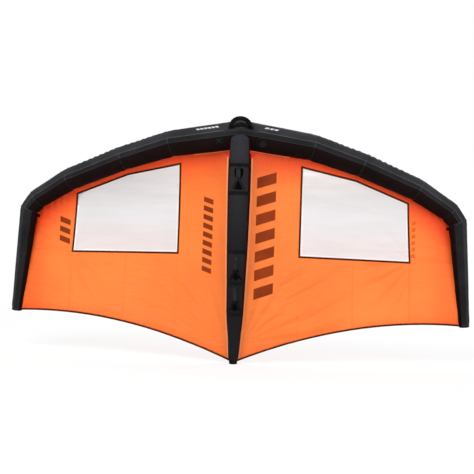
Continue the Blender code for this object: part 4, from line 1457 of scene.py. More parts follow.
@dataclass
class StrutHandle:
    """One handle of the strut: its patch with a dark sheet painted as the shadow under the grip, grip, strap and
    forked yoke.
    """

    number: int
    low: float
    high: float
    strut: Strut
    lines: WingLines
    palette: Palette
    patch: float = 0.002
    webbing: float = 0.0024
    clearance: float = 0.0007
    stand_off: float = 0.056
    grip_radius: float = 0.015
    grip_end_radius: float = 0.0115
    yoke_height: float = 0.080
    yoke_rise: float = 0.014
    foot_inner: float = 0.026
    foot_outer: float = 0.048
    head: float = 0.013
    head_height: float = 0.007
    strap_half: float = 0.015
    top_drop: float = 0.018
    grip_rib: float = 0.00045
    grip_pitch: float = 0.0058
    panel_rib: float = 0.0002
    panel_pitch: float = 0.0065

    @property
    def body(self) -> str:
        """The body that the grip moves with."""
        return f"handle_{self.number}"

    @property
    def over(self) -> float:
        """Distance from the strut's skin to the middle of webbing on the patch."""
        return self.strut.band_lift + self.patch + self.clearance + self.webbing / 2

    def patch_piece(self) -> Object:
        """Builds the reinforcement patch.

        Returns:
            The patch.
        """
        lift = self.strut.band_lift + self.patch / 2
        work = self.strut.wrap(self.low + 0.0003, self.high - 0.0003, lift)
        for index, point in enumerate(work.points):
            work.points[index] = point + Vector((0, -0.0004 * noise.noise(point * 30), 0))
        node = f"{self.body}_patch"
        # The patch's sides are painted shade with a painted red reflection of the sail.
        finishes = [self.palette.patch_cloth, self.palette.painted_side_shade]
        return work.build(
            f"{node}_cloth", finishes, self.patch - 2 * EASE, PATCH_EDGE, TO_RIDER, node=node, slot="charcoal_patch"
        )

    def shadow_half_width(self, height: float) -> float:
        """Half width of the dark sheet painted as the shadow under the grip at a height, 0 outside it.

        Args:
            height: Height over the tail.

        Returns:
            The half width.
        """
        if self.number == 1:
            shares = (0.0, 0.06, 0.10, 0.42, 0.56, 0.62, 0.90, 0.97, 1.0)
            halves = (0.030, 0.035, 0.036, 0.014, 0.014, 0.026, 0.031, 0.029, 0.024)
        else:
            shares = (0.0, 0.05, 0.15, 0.36, 0.47, 0.50)
            halves = (0.006, 0.014, 0.020, 0.020, 0.012, 0.003)
        share = (height - self.low - 0.010) / (self.high - self.low - 0.022)
        return interpolate(share, shares, halves) if 0 <= share <= shares[-1] else 0.0

    def panel(self) -> Object:
        """Builds the raised, ribbed dark sheet painted as the shadow in the gap under the grip.

        Returns:
            The panel.
        """
        low = self.low + 0.010
        top = 1.0 if self.number == 1 else 0.50
        high = low + (self.high - self.low - 0.022) * top
        rows = []
        for height in steps(low, high - 0.0001, 0.0018):
            half = max(self.shadow_half_width(height), 0.003)
            rib = self.panel_rib * math.sin(FULL_TURN * height / self.panel_pitch)
            row = []
            for index in range(17):
                share = index / 8 - 1
                edge = 0.0003 * (1 - share**6)
                lift = self.strut.band_lift + self.patch + 0.0001 + edge + rib * (1 - share**4)
                row.append(self.lines.strut_front(half * share, height, lift))
            rows.append(row)
        work = Patchwork().grid(rows)
        return work.build(f"{self.body}_non_slip_panel", [self.palette.non_slip], 0.0003, face_to=TO_RIDER)

    def grip(self) -> Object:
        """Builds the foam grip with moulded ribs and rounded ends.

        Returns:
            The grip.
        """
        low = self.low + self.yoke_height
        high = self.high - self.top_drop
        start = self.lines.strut_front(0, low, self.over + self.stand_off)
        end = self.lines.strut_front(0, high, self.over + self.stand_off)
        along = (end - start).normalized()
        across = Vector((1, 0, 0))
        outward = across.cross(along)
        length = (end - start).length
        rings, girths = [], []
        for distance in steps(0.0, length, 0.0012):
            edge = min(distance, length - distance)
            swell = self.grip_end_radius + (self.grip_radius - self.grip_end_radius) * smooth(edge / 0.014)
            round_off = 0.004 * (1 - math.sqrt(max(0.0, 1 - (1 - min(edge / 0.004, 1)) ** 2)))
            rib = self.grip_rib * math.cos(FULL_TURN * distance / self.grip_pitch) * smooth((edge - 0.006) / 0.006)
            radius = swell - round_off + rib - 0.0003
            centre = start + along * distance
            rings.append([
                centre + (across * math.sin(turn) - outward * math.cos(turn)) * radius for turn in turns_round(40)
            ])
            girths.append((radius, distance))
        work = Patchwork().tube(rings, girths)
        node = f"{self.body}_grip"
        piece = work.build(
            f"{node}_foam", [self.palette.foam], weld=True, node=node, slot="black_foam", body=self.body
        )
        return piece

    def row(self, inner: float, outer: float, height: float, offset: float) -> list[Vector]:
        """Points across the rider's side of the strut, between two distances from the centre plane."""
        return [self.lines.strut_front(inner + (outer - inner) * i / 6, height, offset) for i in range(7)]

    def yoke(self) -> list[Object]:
        """Builds the forked yoke below the grip and its stitches.

        Returns:
            The yoke and its stitches.
        """
        head = self.low + self.yoke_height - 0.0006
        neck = head - self.head_height
        foot = self.low + self.yoke_rise
        leveled = [(0.0, self.head, head, self.over + self.stand_off)]
        for index in range(21):
            share = index / 20
            outer = self.head + (self.foot_outer - self.head) * share
            lift = self.over + self.stand_off * (1 - smooth(share))
            leveled.append((self.foot_inner * share, outer, neck + (foot - neck) * share, lift))
        work = Patchwork()
        thread = Thread(f"{self.body}_yoke_stitches", length=0.0036, pitch=0.0052, width=0.0010, height=0.0006)
        on_top = TO_RIDER * (self.webbing / 2 + 0.0001)
        for side in Side:
            rows = [[side.turn(point) for point in self.row(*place)] for place in leveled]
            work.grid(rows)
            for column, first in ((1, 1), (5, 1), (3, -6)):
                thread.run([row[column] + on_top for row in rows[first:]], TO_RIDER)
        finish = self.palette.grey_webbing if self.number == 1 else self.palette.webbing
        node = f"{self.body}_yoke"
        piece = work.build(
            f"{node}_webbing", [finish], self.webbing - EASE, WEBBING_EDGE, TO_RIDER, True,
            node=node, slot="black_webbing", body=""
        )
        sewn = thread.build(self.palette.dark_thread, body="")
        root = self.lines.strut_front(0, foot, self.over)
        tip = self.lines.strut_front(0, head, self.over + self.stand_off)
        return [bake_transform(thing, "wing", self.body, start=root, end=tip) for thing in (piece, sewn)]

    def strap(self) -> Object:
        """Builds the strap from the upper band's edge round to the grip.

        Returns:
            The strap.
        """
        low = self.low + self.yoke_height
        high = self.high - self.top_drop
        start = self.lines.strut_front(0, low, self.over + self.stand_off)
        end = self.lines.strut_front(0, high, self.over + self.stand_off)
        slope = (end.y - start.y) / (end.z - start.z)
        height = high + self.webbing / 2 + 0.0006
        rows = [self.row(0, self.strap_half, self.high - 0.002, self.over)]
        full = self.stand_off + self.grip_end_radius
        for index in range(20):
            share = index / 19
            reach = full * (1 - (1 - share) ** 1.25)
            crown = 0.0030 * math.sin(math.pi * min(1.0, share / 0.8)) + 0.0014 * math.exp(-share / 0.06)
            half = self.strap_half - 0.0022 * smooth((share - 0.35) / 0.4)
            rise = (self.stand_off - reach) * slope
            rows.append(self.row(0, half, height - rise + crown, self.over + reach))
        for index in range(1, 6):
            turn = math.pi / 2 * index / 5
            reach = full + 0.0024 * math.sin(turn)
            drop = 0.0075 * (1 - math.cos(turn))
            rows.append(self.row(0, self.strap_half - 0.0022, height - drop, self.over + reach))
        work = Patchwork()
        for side in Side:
            turned = [[side.turn(point) for point in row] for row in rows]
            work.grid(turned, [[(p.x, p.z - p.y) for p in row] for row in turned])
        node = f"{self.body}_strap"
        finishes, facing = [self.palette.grey_webbing], Vector((0, -0.5, 1))
        piece = work.build(
            f"{node}_webbing", finishes, self.webbing - EASE, WEBBING_EDGE, facing, True,
            node=node, slot="black_webbing", body=""
        )
        root = self.lines.strut_front(0, height, self.over)
        tip = self.lines.strut_front(0, height, self.over + self.stand_off)
        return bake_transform(piece, "wing", self.body, start=root, end=tip)

    def build(self) -> list[Object]:
        """Builds the handle."""
        return [self.patch_piece(), self.panel(), self.grip(), *self.yoke(), self.strap()]


@dataclass
class FrontHandle:
    """The arched handle on the leading edge, its sewn tabs and the patch under it."""

    lines: WingLines
    palette: Palette
    foot: tuple[float, float, float] = (0.063848, -0.029654, 1.582277)
    lean: float = math.radians(45)
    height: float = 0.067
    radius: float = 0.012
    lift: float = 0.0003
    patch_thickness: float = 0.002
    patch_reach: float = 0.1115
    patch_clocks: Flat = (8.2, 19.8)
    square_middle: float = 0.13975
    ridge_rise: float = 0.0022
    bump_rise: float = 0.0016
    bump_length: float = 0.0085
    swell: float = 0.0022
    square: tuple[tuple[int, int], ...] = ((0, 1), (1, 2), (2, 3), (3, 0))
    crossed: tuple[tuple[int, int], ...] = ((0, 2), (1, 3))

    def skin(self, span: float, clock: float, lift: float) -> Vector:
        """Point on the right centre panel's plain skin, also across the centre seam.

        Args:
            span: Distance from the centre plane, below 0 on the left.
            clock: Clock angle.
            lift: Distance from the skin.

        Returns:
            The point.
        """
        rings = self.lines.rings()
        run = rings[1].centre - rings[0].centre
        share = abs(span) / run.x
        point = rings[0].point(clock, lift).lerp(rings[1].point(clock, lift), share)
        return Vector((math.copysign(point.x, span), point.y, point.z))

    def grip(self) -> Object:
        """Builds the arched grip with its moulded bumps.

        Returns:
            The grip.
        """
        lean = Vector((0, -math.sin(self.lean), math.cos(self.lean)))
        across = Vector((1, 0, 0))
        centre = Vector((0, self.foot[1], self.foot[2]))
        angles = [math.pi * index / 96 for index in range(97)]
        stations = [
            (centre + across * self.foot[0] * math.cos(a) + lean * self.height * math.sin(a), self.radius, a)
            for a in angles
        ]
        for index in range(1, 7):
            angle = math.radians(80) * index / 6
            drop = lean * self.radius * math.sin(angle)
            radius = self.radius * math.cos(angle)
            stations.insert(0, (centre + across * self.foot[0] - drop, radius, 0.0))
            stations.append((centre - across * self.foot[0] - drop, radius, math.pi))
        square = across.cross(lean)
        rings, girths = [], []
        travelled = 0.0
        for index, (spot, radius, angle) in enumerate(stations):
            before = stations[max(index - 1, 0)][0]
            after = stations[min(index + 1, len(stations) - 1)][0]
            along = (after - before).normalized()
            out = along.cross(square).normalized()
            travelled += (spot - before).length
            fade = smooth(math.sin(angle) * 4)
            ring = []
            for turn in turns_round(36):
                wave = math.sin(travelled / self.bump_length * math.pi) * math.cos(turn * 3 + 0.5)
                swell = self.swell * fade - 0.0003 + self.bump_rise * fade * wave
                ring.append(spot + (out * math.cos(turn) + square * math.sin(turn)) * (radius + swell))
            rings.append(ring)
            girths.append((self.radius, travelled))
        work = Patchwork().tube(rings, girths, along_first=True)
        return work.build(
            "front_handle_grip_rubber", [self.palette.grip_rubber], weld=True,
            node="front_handle_grip", slot="black_foam", body="front_handle"
        )

    def webbing(
        self, name: str, spans: Sequence[float], clocks: Sequence[float], facing: Vector, node: str = "",
        flats: Sequence[Sequence[Flat]] = ()
    ) -> Object:
        """Builds a piece of webbing on the tube.

        Args:
            name: Its name.
            spans: Its places along the tube.
            clocks: Its angles round the tube.
            facing: Direction that it faces.
            node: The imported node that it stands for.
            flats: The flat places of its points.

        Returns:
            The piece.
        """
        middle = self.lift + self.patch_thickness / 2
        work = Patchwork().grid([[self.skin(span, clock, middle) for span in spans] for clock in clocks], flats)
        return work.build(
            name, [self.palette.webbing], self.patch_thickness - EASE, WEBBING_EDGE, facing,
            node=node, slot="black_webbing"
        )

    def sew(self, thread: Thread, spans: Flat, clocks: Flat, runs: Sequence[tuple[int, int]], normal: Vector) -> None:
        """Sews straight rows between the corners of a square.

        Args:
            thread: The stitches that they join.
            spans: The square's two sides along the tube.
            clocks: Its two sides round the tube, in degrees.
            runs: The two corners of each row, numbered round the square.
            normal: Direction away from the cloth.
        """
        corners = [(spans[0], clocks[0]), (spans[1], clocks[0]), (spans[1], clocks[1]), (spans[0], clocks[1])]
        top = self.lift + self.patch_thickness + 0.0001
        for a, b in runs:
            places = [between(corners[a], corners[b], share) for share in steps(0, 1, 0.1)]
            path = [self.skin(span, math.radians(clock), top) for span, clock in places]
            thread.run(path, normal.normalized())

    def tabs_and_patch(self) -> list[Object]:
        """Builds the two sewn tabs, a dark webbing strip between them put there as painted shade inside the arch, the
        patch with its two ridges and their stitches.

        Returns:
            The pieces.
        """
        thread = Thread("front_handle_stitches", length=0.0042, pitch=0.006, width=0.0011)
        pieces = []
        middle = self.lift + self.patch_thickness / 2
        upward = Vector((0, -1, 1))
        span = 0.5 * (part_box("front_handle_tab_right")[0][0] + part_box("front_handle_tab_right")[1][0])
        for side in Side:
            name = f"front_handle_tab_{side.word}"
            spans = [side.value * s for s in steps(span - 0.0198, span + 0.0198, 0.004)]
            clocks = steps(math.radians(21.2), math.radians(37.8), math.radians(1.5))
            pieces.append(self.webbing(f"{name}_webbing", spans, clocks, upward, name))
            ends = (side.value * (span - 0.017), side.value * (span + 0.017))
            self.sew(thread, ends, (23, 36), self.square + self.crossed, Vector((0, -0.9, 0.45)))
        # A webbing strip joining the tabs, dark as painted shade inside the arch.
        inner = span - 0.0202
        spans = steps(-inner, inner, 0.006)
        clocks = steps(math.radians(25), math.radians(50), math.radians(1.5))
        flats = [[(s, clock * 0.1) for s in spans] for clock in clocks]
        pieces.append(self.webbing("front_handle_base_webbing", spans, clocks, upward, flats=flats))
        spans = steps(-self.patch_reach, self.patch_reach, 0.006)
        low, high = self.patch_clocks
        rows, flats = [], []
        for clock in steps(math.radians(low), math.radians(high), math.radians(0.75)):
            share = (math.degrees(clock) - low) / (high - low)
            ridge = self.ridge_rise * (bell(share - 0.16, 0.10) + bell(share - 0.80, 0.12))
            fades = [smooth((self.patch_reach - abs(s)) / 0.02) for s in spans]
            rows.append([self.skin(s, clock, middle + ridge * fade) for s, fade in zip(spans, fades)])
            flats.append([(s, clock * 0.1) for s in spans])
        work = Patchwork().grid(rows, flats)
        pieces.append(work.build(
            "front_patch_cloth", [self.palette.patch_cloth], self.patch_thickness - 2 * EASE, PATCH_EDGE, TO_RIDER,
            node="front_patch", slot="charcoal_patch"
        ))
        for degrees in (12.5, 15):
            path = [self.skin(s, math.radians(degrees), middle + 0.0012) for s in spans]
            thread.run(path, Vector((0, -1, 0.2)).normalized())
        pieces.append(thread.build(self.palette.dark_thread))
        return pieces

    def stitch_patch(self) -> list[Object]:
        """Builds the webbing square on the left with its crossed seam.

        Returns:
            The square and its seam.
        """
        middle = self.square_middle
        spans = [-s for s in steps(middle - 0.0268, middle + 0.0268, 0.004)]
        clocks = steps(math.radians(-35.8), math.radians(-8.2), math.radians(1.5))
        piece = self.webbing("stitch_patch_webbing", spans, clocks, Vector((0, -1, -0.4)), "stitch_patch")
        thread = Thread("stitch_patch_cross", length=0.0048, pitch=0.006, width=0.0020, height=0.0009)
        ends = (-(middle - 0.020), -(middle + 0.020))
        self.sew(thread, ends, (-32, -12), self.crossed, Vector((0, -0.93, -0.37)))
        return [piece, thread.build(self.palette.pale_thread)]

    def build(self) -> list[Object]:
        """Builds the front handle."""
        return [self.grip(), *self.tabs_and_patch(), *self.stitch_patch()]


@dataclass
class Sail:
    """One half of the canopy with its window, tapes, hem, seams and corner pieces."""

    side: Side
    lines: WingLines
    palette: Palette
    columns: int = 150
    rows: int = 130
    cloth: float = 0.0008
    tape_width: float = 0.0135
    strip_step: float = 0.014
    film: float = 0.0004
    tape_thickness: float = 0.0026
    hem_thickness: float = 0.0030
    border_reach: Flat = (-0.0165, -0.005)
    border_thickness: float = 0.0011
    seam_thickness: float = 0.0017
    patch_thickness: float = 0.0022
    tab_thickness: float = 0.0034
    print_thickness: float = 0.0003
    stitch_reach: float = 0.0035
    seam_half: float = 0.004
    bar_lift: float = 0.0012
    spread_rise: float = 0.0042
    spread_from: Flat = (0.05, 0.12)
    corner_rise: float = 0.0035
    corner_from: Flat = (1.19, 0.73)
    tube_wave: float = 0.0016
    hem_wave: float = 0.0014
    streak_rise: float = 0.0045
    streak_lean: float = 0.54
    streak_pitch: float = 0.105
    wrinkle_rise: float = 0.0022

    def folds(self, span: float, height: float) -> float:
        """Depth of the sail's creases and soft waves at a place.

        Args:
            span: Distance from the centre plane.
            height: Height over the tail.

        Returns:
            Depth in metres, positive away from the rider.
        """
        spot = Vector((span * self.side.value, height, 0.7))
        value = 0.0040 * noise.noise(spot * 2.3) + 0.0012 * noise.noise(spot * 9)
        near_x, near_z = self.spread_from
        tail = math.hypot(span - near_x, height - near_z)
        angle = math.atan2(height - near_z, max(span - near_x, 0.001))
        value += self.spread_rise * math.sin(angle * 26 + 3 * noise.noise(spot * 2)) * bell(tail - 0.45, 0.34)
        far_x, far_z = self.corner_from
        low = math.hypot(span - far_x, height - far_z)
        angle = math.atan2(far_z - height, max(far_x + 0.05 - span, 0.001))
        fade = bell(low - 0.22, 0.16) * (1 if height < far_z + 0.1 else 0.4)
        value += self.corner_rise * math.sin(angle * 17 + 1.0) * fade
        top = self.lines.edge_height(span) - height
        wave = math.sin(span * FULL_TURN / 0.052 + 2 * noise.noise(spot * 5))
        value += self.tube_wave * wave * bell(top - 0.10, 0.055)
        hem = height - self.lines.trailing_height(span)
        wave = math.sin(span * FULL_TURN / 0.085 + 2 * noise.noise(spot * 4))
        value += self.hem_wave * wave * bell(hem, 0.07)
        if self.side is Side.RIGHT:
            across = height * math.cos(self.streak_lean) - span * math.sin(self.streak_lean)
            reach = bell(span - 0.36, 0.26) * bell(height - 0.46, 0.17)
            reach *= max(smooth((span - 0.25) / 0.06), smooth((0.42 - height) / 0.06))
            wave = math.sin(across * FULL_TURN / self.streak_pitch + noise.noise(spot * 2))
            value += self.streak_rise * wave**3 * reach
        root = smooth((span - 0.004) / 0.12)
        return value * root

    def lay(self, span: float, height: float, lift: float = 0.0) -> Vector:
        """Point on the sail, at a depth from its middle surface."""
        depth = self.lines.sail_depth(span, height) + self.folds(span, height) + lift
        return self.side.turn(Vector((span, depth, height)))

    def strip(
        self, work: Patchwork, first: Sequence[Flat], second: Sequence[Flat], lift: float = 0, finish: int = 0
    ) -> None:
        """Adds a strip of cloth on the sail, between two lines.

        Args:
            work: The mesh it goes into.
            first: Places along its first edge.
            second: Places along its second edge, as many.
            lift: Depth from the sail's middle surface.
            finish: Finish number.
        """
        rows = [[between(a, b, share) for a, b in zip(first, second)] for share in (0.0, 0.33, 0.67, 1.0)]
        work.grid([[self.lay(x, z, lift) for x, z in row] for row in rows], rows, finish)

    def line(self, start: Flat, end: Flat) -> list[Flat]:
        """Places along a straight line from one place to another."""
        length = math.dist(start, end)
        return [between(start, end, distance / length) for distance in steps(0, length, self.strip_step)]

    def tube_contour(self, span: float) -> float:
        """Height on the sail at which the tube's lower edge hides it from the rider.

        Args:
            span: Distance from the centre plane.

        Returns:
            The height.
        """
        spans = [s * self.lines.half_span for s in self.lines.seam_spans]
        radii = [self.lines.edge_radius * r for r in self.lines.seam_radii]
        slope = (self.lines.edge_height(span + 0.03) - self.lines.edge_height(span - 0.03)) / 0.06
        drop = interpolate(span, spans, radii) * math.sqrt(1 + slope * slope)
        return self.lines.edge_height(span) - drop + 0.007

    def outline(self, reach: float) -> list[Flat]:
        """The window's outline, moved outwards by a distance.

        Args:
            reach: The distance, below 0 inwards.

        Returns:
            The corners.
        """
        corners = [Vector(place) for place in self.lines.window_outline()]
        middle = sum(corners, Vector((0, 0))) / len(corners)
        moved = []
        for index, corner in enumerate(corners):
            edges = (corner - corners[index - 1], corners[(index + 1) % len(corners)] - corner)
            normals = []
            for edge in edges:
                normal = Vector((edge.y, -edge.x)).normalized()
                normals.append(normal if normal.dot(corner - middle) > 0 else -normal)
            both = (normals[0] + normals[1]).normalized()
            moved.append(tuple(corner + both * (reach / both.dot(normals[0]))))
        return moved

    def flat_sheet(self, places: Callable[[float, float], Flat], columns: int, rows: int) -> BMesh:
        """Flat grid of the sail in its own plane.

        Args:
            places: The place at a share of the columns and of the rows.
            columns: Number of columns.
            rows: Number of rows.

        Returns:
            The sheet.
        """
        work = bmesh.new()
        grid = [
            [work.verts.new((*places(i / columns, j / rows), 0)) for i in range(columns + 1)]
            for j in range(rows + 1)
        ]
        for upper, lower in zip(grid, grid[1:]):
            for i in range(columns):
                work.faces.new((upper[i], upper[i + 1], lower[i + 1], lower[i]))
        return work

    def cut(self, work: BMesh, outline: list[Flat], keep_inside: bool) -> None:
        """Cuts a flat sheet along a convex outline and keeps one part.

        Args:
            work: The sheet.
            outline: The outline's corners.
            keep_inside: Whether the part inside is kept.
        """
        middle = sum((Vector(place) for place in outline), Vector((0, 0))) / len(outline)
        planes = []
        for a, b in zip(outline, outline[1:] + outline[:1]):
            run = Vector(b) - Vector(a)
            normal = Vector((run.y, -run.x, 0)).normalized()
            if normal.dot(Vector((*a, 0)) - Vector((*middle, 0))) < 0:
                normal = -normal
            planes.append((Vector((*a, 0)), normal))
            geometry = work.verts[:] + work.edges[:] + work.faces[:]
            bmesh.ops.bisect_plane(work, geom=geometry, dist=1e-5, plane_co=(*a, 0), plane_no=normal)
        unwanted = []
        for face in work.faces:
            centre = face.calc_center_median()
            inside = all((centre - spot).dot(normal) < 0 for spot, normal in planes)
            if inside != keep_inside:
                unwanted.append(face)
        bmesh.ops.delete(work, geom=unwanted, context="FACES")

    def drape(
        self, work: BMesh, names: tuple[str, str, str], finish: Material, thickness: float,
        extra: Callable[[float, float], float]
    ) -> tuple[Object, float]:
        """Lays a flat sheet on the sail and gives it its thickness.

        Args:
            work: The flat sheet.
            names: The piece's name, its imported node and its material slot.
            finish: Its finish.
            thickness: Its thickness.
            extra: More depth at a place.

        Returns:
            The piece, and the area of its cloth.
        """
        sheet = Patchwork()
        work.verts.ensure_lookup_table()
        flats = [(v.co.x, v.co.y) for v in work.verts]
        sheet.points = [self.lay(x, z, extra(x, z)) for x, z in flats]
        for face in work.faces:
            corners = tuple(v.index for v in face.verts)
            sheet.faces.append(corners)
            sheet.flats.append(tuple(flats[index] for index in corners))
            sheet.finishes.append(0)
        work.free()
        name, node, slot = names
        piece = sheet.build(name, [finish], face_to=TO_RIDER, node=node, slot=slot)
        area = sum(face.area for face in piece.data.polygons)
        change = piece.modifiers.new("Thickness", "SOLIDIFY")
        change.thickness = thickness
        change.offset = 0
        apply_changes(piece)
        piece.data.shade_smooth()
        self.shade(piece)
        return piece, area

    def shade(self, piece: Object) -> None:
        """Stores painted shade for the sail's colour: how near each point is to its rims, where the sail is painted
        darker and redder, and how its folds lean, where they are painted darker.

        Args:
            piece: Cloth of the sail, in its place.
        """
        near, fold_shade = [], []
        for vertex in piece.data.vertices:
            x, z = abs(vertex.co.x), vertex.co.z
            top = self.lines.edge_height(x) - z
            side = (1.60 - x) - 0.10
            low = z - self.lines.trailing_height(x)
            # Painted shade, strongest under the tube, weaker along the tip and the hem.
            value = 0.92 * bell(max(top - 0.085, 0), 0.16) + 0.38 * bell(max(side, 0), 0.12)
            near.append(min(1.0, value + 0.30 * bell(low, 0.05)))
            # Painted shade on the folds, darker where they slope, stronger on the right half.
            slope = (self.folds(x, z + 0.006) - self.folds(x, z - 0.006)) / 0.012
            fold_shade.append(min(0.8, max(0.0, slope * (3.6 if self.side is Side.RIGHT else 1.5))))
        for name, values in (("painted_rim_shade_share", near), ("painted_fold_shade", fold_shade)):
            attribute = piece.data.attributes.new(name, "FLOAT", "POINT")
            attribute.data.foreach_set("value", values)

    def canopy(self) -> tuple[Object, float]:
        """Builds the half of the canopy with its window opening.

        Returns:
            The piece, and the area of its cloth.
        """
        work = self.flat_sheet(self.lines.sail_place, self.columns, self.rows)
        self.cut(work, self.outline(0), keep_inside=False)
        buried = []
        for face in work.faces:
            centre = face.calc_center_median()
            point = Vector((centre.x, self.lines.sail_depth(centre.x, centre.y), centre.y))
            if self.lines.edge_clearance(point) < -0.014:
                buried.append(face)
        bmesh.ops.delete(work, geom=buried, context="FACES")
        node = f"canopy_{self.side.word}"
        names = (f"{node}_cloth", node, "orange_ripstop")
        return self.drape(work, names, self.palette.sail, self.cloth, lambda x, z: 0.0)

    def window(self) -> tuple[Object, float]:
        """Builds the window's film.

        Returns:
            The piece, and the area of its film.
        """
        outline = self.outline(0.003)
        low_x, high_x = min(p[0] for p in outline), max(p[0] for p in outline)
        low_z, high_z = min(p[1] for p in outline), max(p[1] for p in outline)
        work = self.flat_sheet(
            lambda a, b: (low_x + (high_x - low_x) * a, high_z + (low_z - high_z) * b), 80, 64
        )
        self.cut(work, outline, keep_inside=True)

        def wrinkle(x: float, z: float) -> float:
            """Long wrinkles across the film, gone at its borders.

            Args:
                x: Distance from the centre plane.
                z: Height over the tail.

            Returns:
                The depth in metres.
            """
            spot = Vector((x * 1.1, z * 6.5, 2.0 + self.side.value))
            edge = min(smooth((x - low_x) / 0.06), smooth((high_x - x) / 0.06), smooth((z - low_z) / 0.06))
            top = smooth((1.54 * 0.9 - 0.19 * x - z) / 0.06)
            return self.wrinkle_rise * noise.noise(spot) * min(edge, top)

        node = f"window_{self.side.word}"
        return self.drape(work, (f"{node}_film", node, "clear_film"), self.palette.film, self.film, wrinkle)

    def round_window(self, inner: float, outer: float) -> Patchwork:
        """Strip round the window, between two distances from its outline.

        Args:
            inner: The nearer distance.
            outer: The further distance.

        Returns:
            The strip.
        """
        work = Patchwork()
        near, far = self.outline(inner), self.outline(outer)
        for start, end, a, b in zip(near, near[1:] + near[:1], far, far[1:] + far[:1]):
            first = self.line(start, end)
            count = len(first) - 1
            self.strip(work, first, [between(a, b, index / count) for index in range(count + 1)])
        return work

    def tape(self) -> Object:
        """Builds the dark tape round the window.

        Returns:
            The tape.
        """
        node = f"window_tape_{self.side.word}"
        return self.round_window(-self.tape_width / 2, self.tape_width / 2).build(
            f"{node}_cloth", [self.palette.dark_tape], self.tape_thickness, 0.0005, TO_RIDER, True,
            node=node, slot="dark_seam_tape"
        )

    def border(self) -> Object:
        """Builds the doubled, milkier border of the film inside the tape.

        Returns:
            The border.
        """
        return self.round_window(*self.border_reach).build(
            f"window_{self.side.word}_border", [self.palette.film_border], self.border_thickness,
            face_to=TO_RIDER, weld=True, slot="clear_film"
        )

    def hem(self) -> Object:
        """Builds the rolled hem along the trailing edge.

        Returns:
            The hem.
        """
        work = Patchwork()
        start, end = self.lines.canopy_root, self.lines.half_span - 0.0357
        spans = steps(start, end, self.strip_step)
        low = [(x, self.lines.trailing_height(x)) for x in spans]
        high = [(x, self.lines.trailing_height(x) + self.lines.hem) for x in spans]
        self.strip(work, low, high)
        node = f"hem_{self.side.word}"
        return work.build(
            f"{node}_tape", [self.palette.dark_tape], self.hem_thickness, ROLLED_EDGE, TO_RIDER, True,
            node=node, slot="dark_seam_tape"
        )

    def seams(self) -> Object:
        """Builds the lapped seams of the canopy's panels and the strips beside the strut, the inner one a painted
        shadow of the strut.

        Returns:
            The seams.
        """
        work = Patchwork()
        outline = self.lines.window_outline()
        half = self.seam_half

        def upright(x_low: float, z_low: float, x_high: float, z_high: float) -> None:
            """Adds one seam from a lower to an upper place."""
            path = self.line((x_low, z_low), (x_high, z_high))
            self.strip(work, [(x - half, z) for x, z in path], [(x + half, z) for x, z in path])

        top = self.lines.edge_height
        low = self.lines.trailing_height
        for corner_top, corner_low in ((0, 4), (1, None), (2, 3)):
            x, z = outline[corner_top]
            upright(x, z + 0.006, x, top(x) - 0.075)
            if corner_low is None:
                (x_a, z_a), (x_b, z_b) = outline[4], outline[3]
                floor = z_a + (z_b - z_a) * (x - x_a) / (x_b - x_a)
                upright(x, low(x) + 0.008, x, floor - 0.006)
            else:
                x_low, z_low = outline[corner_low]
                upright(x_low, low(x_low) + 0.008, x_low, z_low - 0.006)
        path = self.line(outline[3], (1.53, outline[3][1] + 0.01))
        self.strip(work, [(x, z - half) for x, z in path], [(x, z + half) for x, z in path])
        heights = steps(0.035, 1.415, self.strip_step)
        reach = 0.0078 - 0.0037 * self.side.value
        # Beside the strut: a dark red strip of painted shadow, then a paler orange strip.
        for inner, outer, finish in ((-0.034, reach, 2), (reach, reach + 0.011, 1)):
            both = []
            for offset in (inner, outer):
                fade = [offset - reach * (1 - smooth((z - 0.05) / 0.30)) for z in heights]
                both.append([(self.lines.strut_radius(z) + d, z) for d, z in zip(fade, heights)])
            self.strip(work, *both, finish=finish)
        path = [(x, self.tube_contour(x)) for x in steps(0.076, 0.33, self.strip_step)]
        self.strip(work, [(x, z - 0.0075) for x, z in path], [(x, z + 0.022) for x, z in path], finish=1)
        finishes = [self.palette.sail_seam, self.palette.sail_strip, self.palette.painted_side_shade]
        name = f"canopy_{self.side.word}_seams"
        piece = work.build(name, finishes, self.seam_thickness, 0.0003, TO_RIDER, slot="orange_ripstop")
        self.shade(piece)
        return piece

    def corners(self) -> list[Object]:
        """Builds the red patch at the strut and the dark tab at the tube's corner.

        Returns:
            The patch and the tab.
        """
        work = Patchwork()
        x = 0.0697
        low = 1.380
        rows = []
        for share in (0.0, 0.25, 0.5, 0.75, 1.0):
            z = low + share * (self.lines.edge_height(0.1) - 0.098 - low - 0.004)
            reach = 0.004 + 0.047 * share
            rows.append([(x + reach * t / 6, z) for t in range(7)])
        work.grid([[self.lay(*place) for place in row] for row in rows], rows)
        node = f"root_patch_{self.side.word}"
        patch = work.build(
            f"{node}_cloth", [self.palette.red_patch], self.patch_thickness, 0.0004, TO_RIDER,
            node=node, slot="red_ripstop"
        )
        work = Patchwork()
        first = self.line((1.462, 0.949), (1.459, 0.969))
        self.strip(work, first, [(x + 0.038, z + 0.008) for x, z in first])
        node = f"corner_tab_{self.side.word}"
        tab = work.build(
            f"{node}_webbing", [self.palette.webbing], self.tab_thickness, 0.0008, TO_RIDER,
            node=node, slot="black_webbing"
        )
        return [patch, tab]

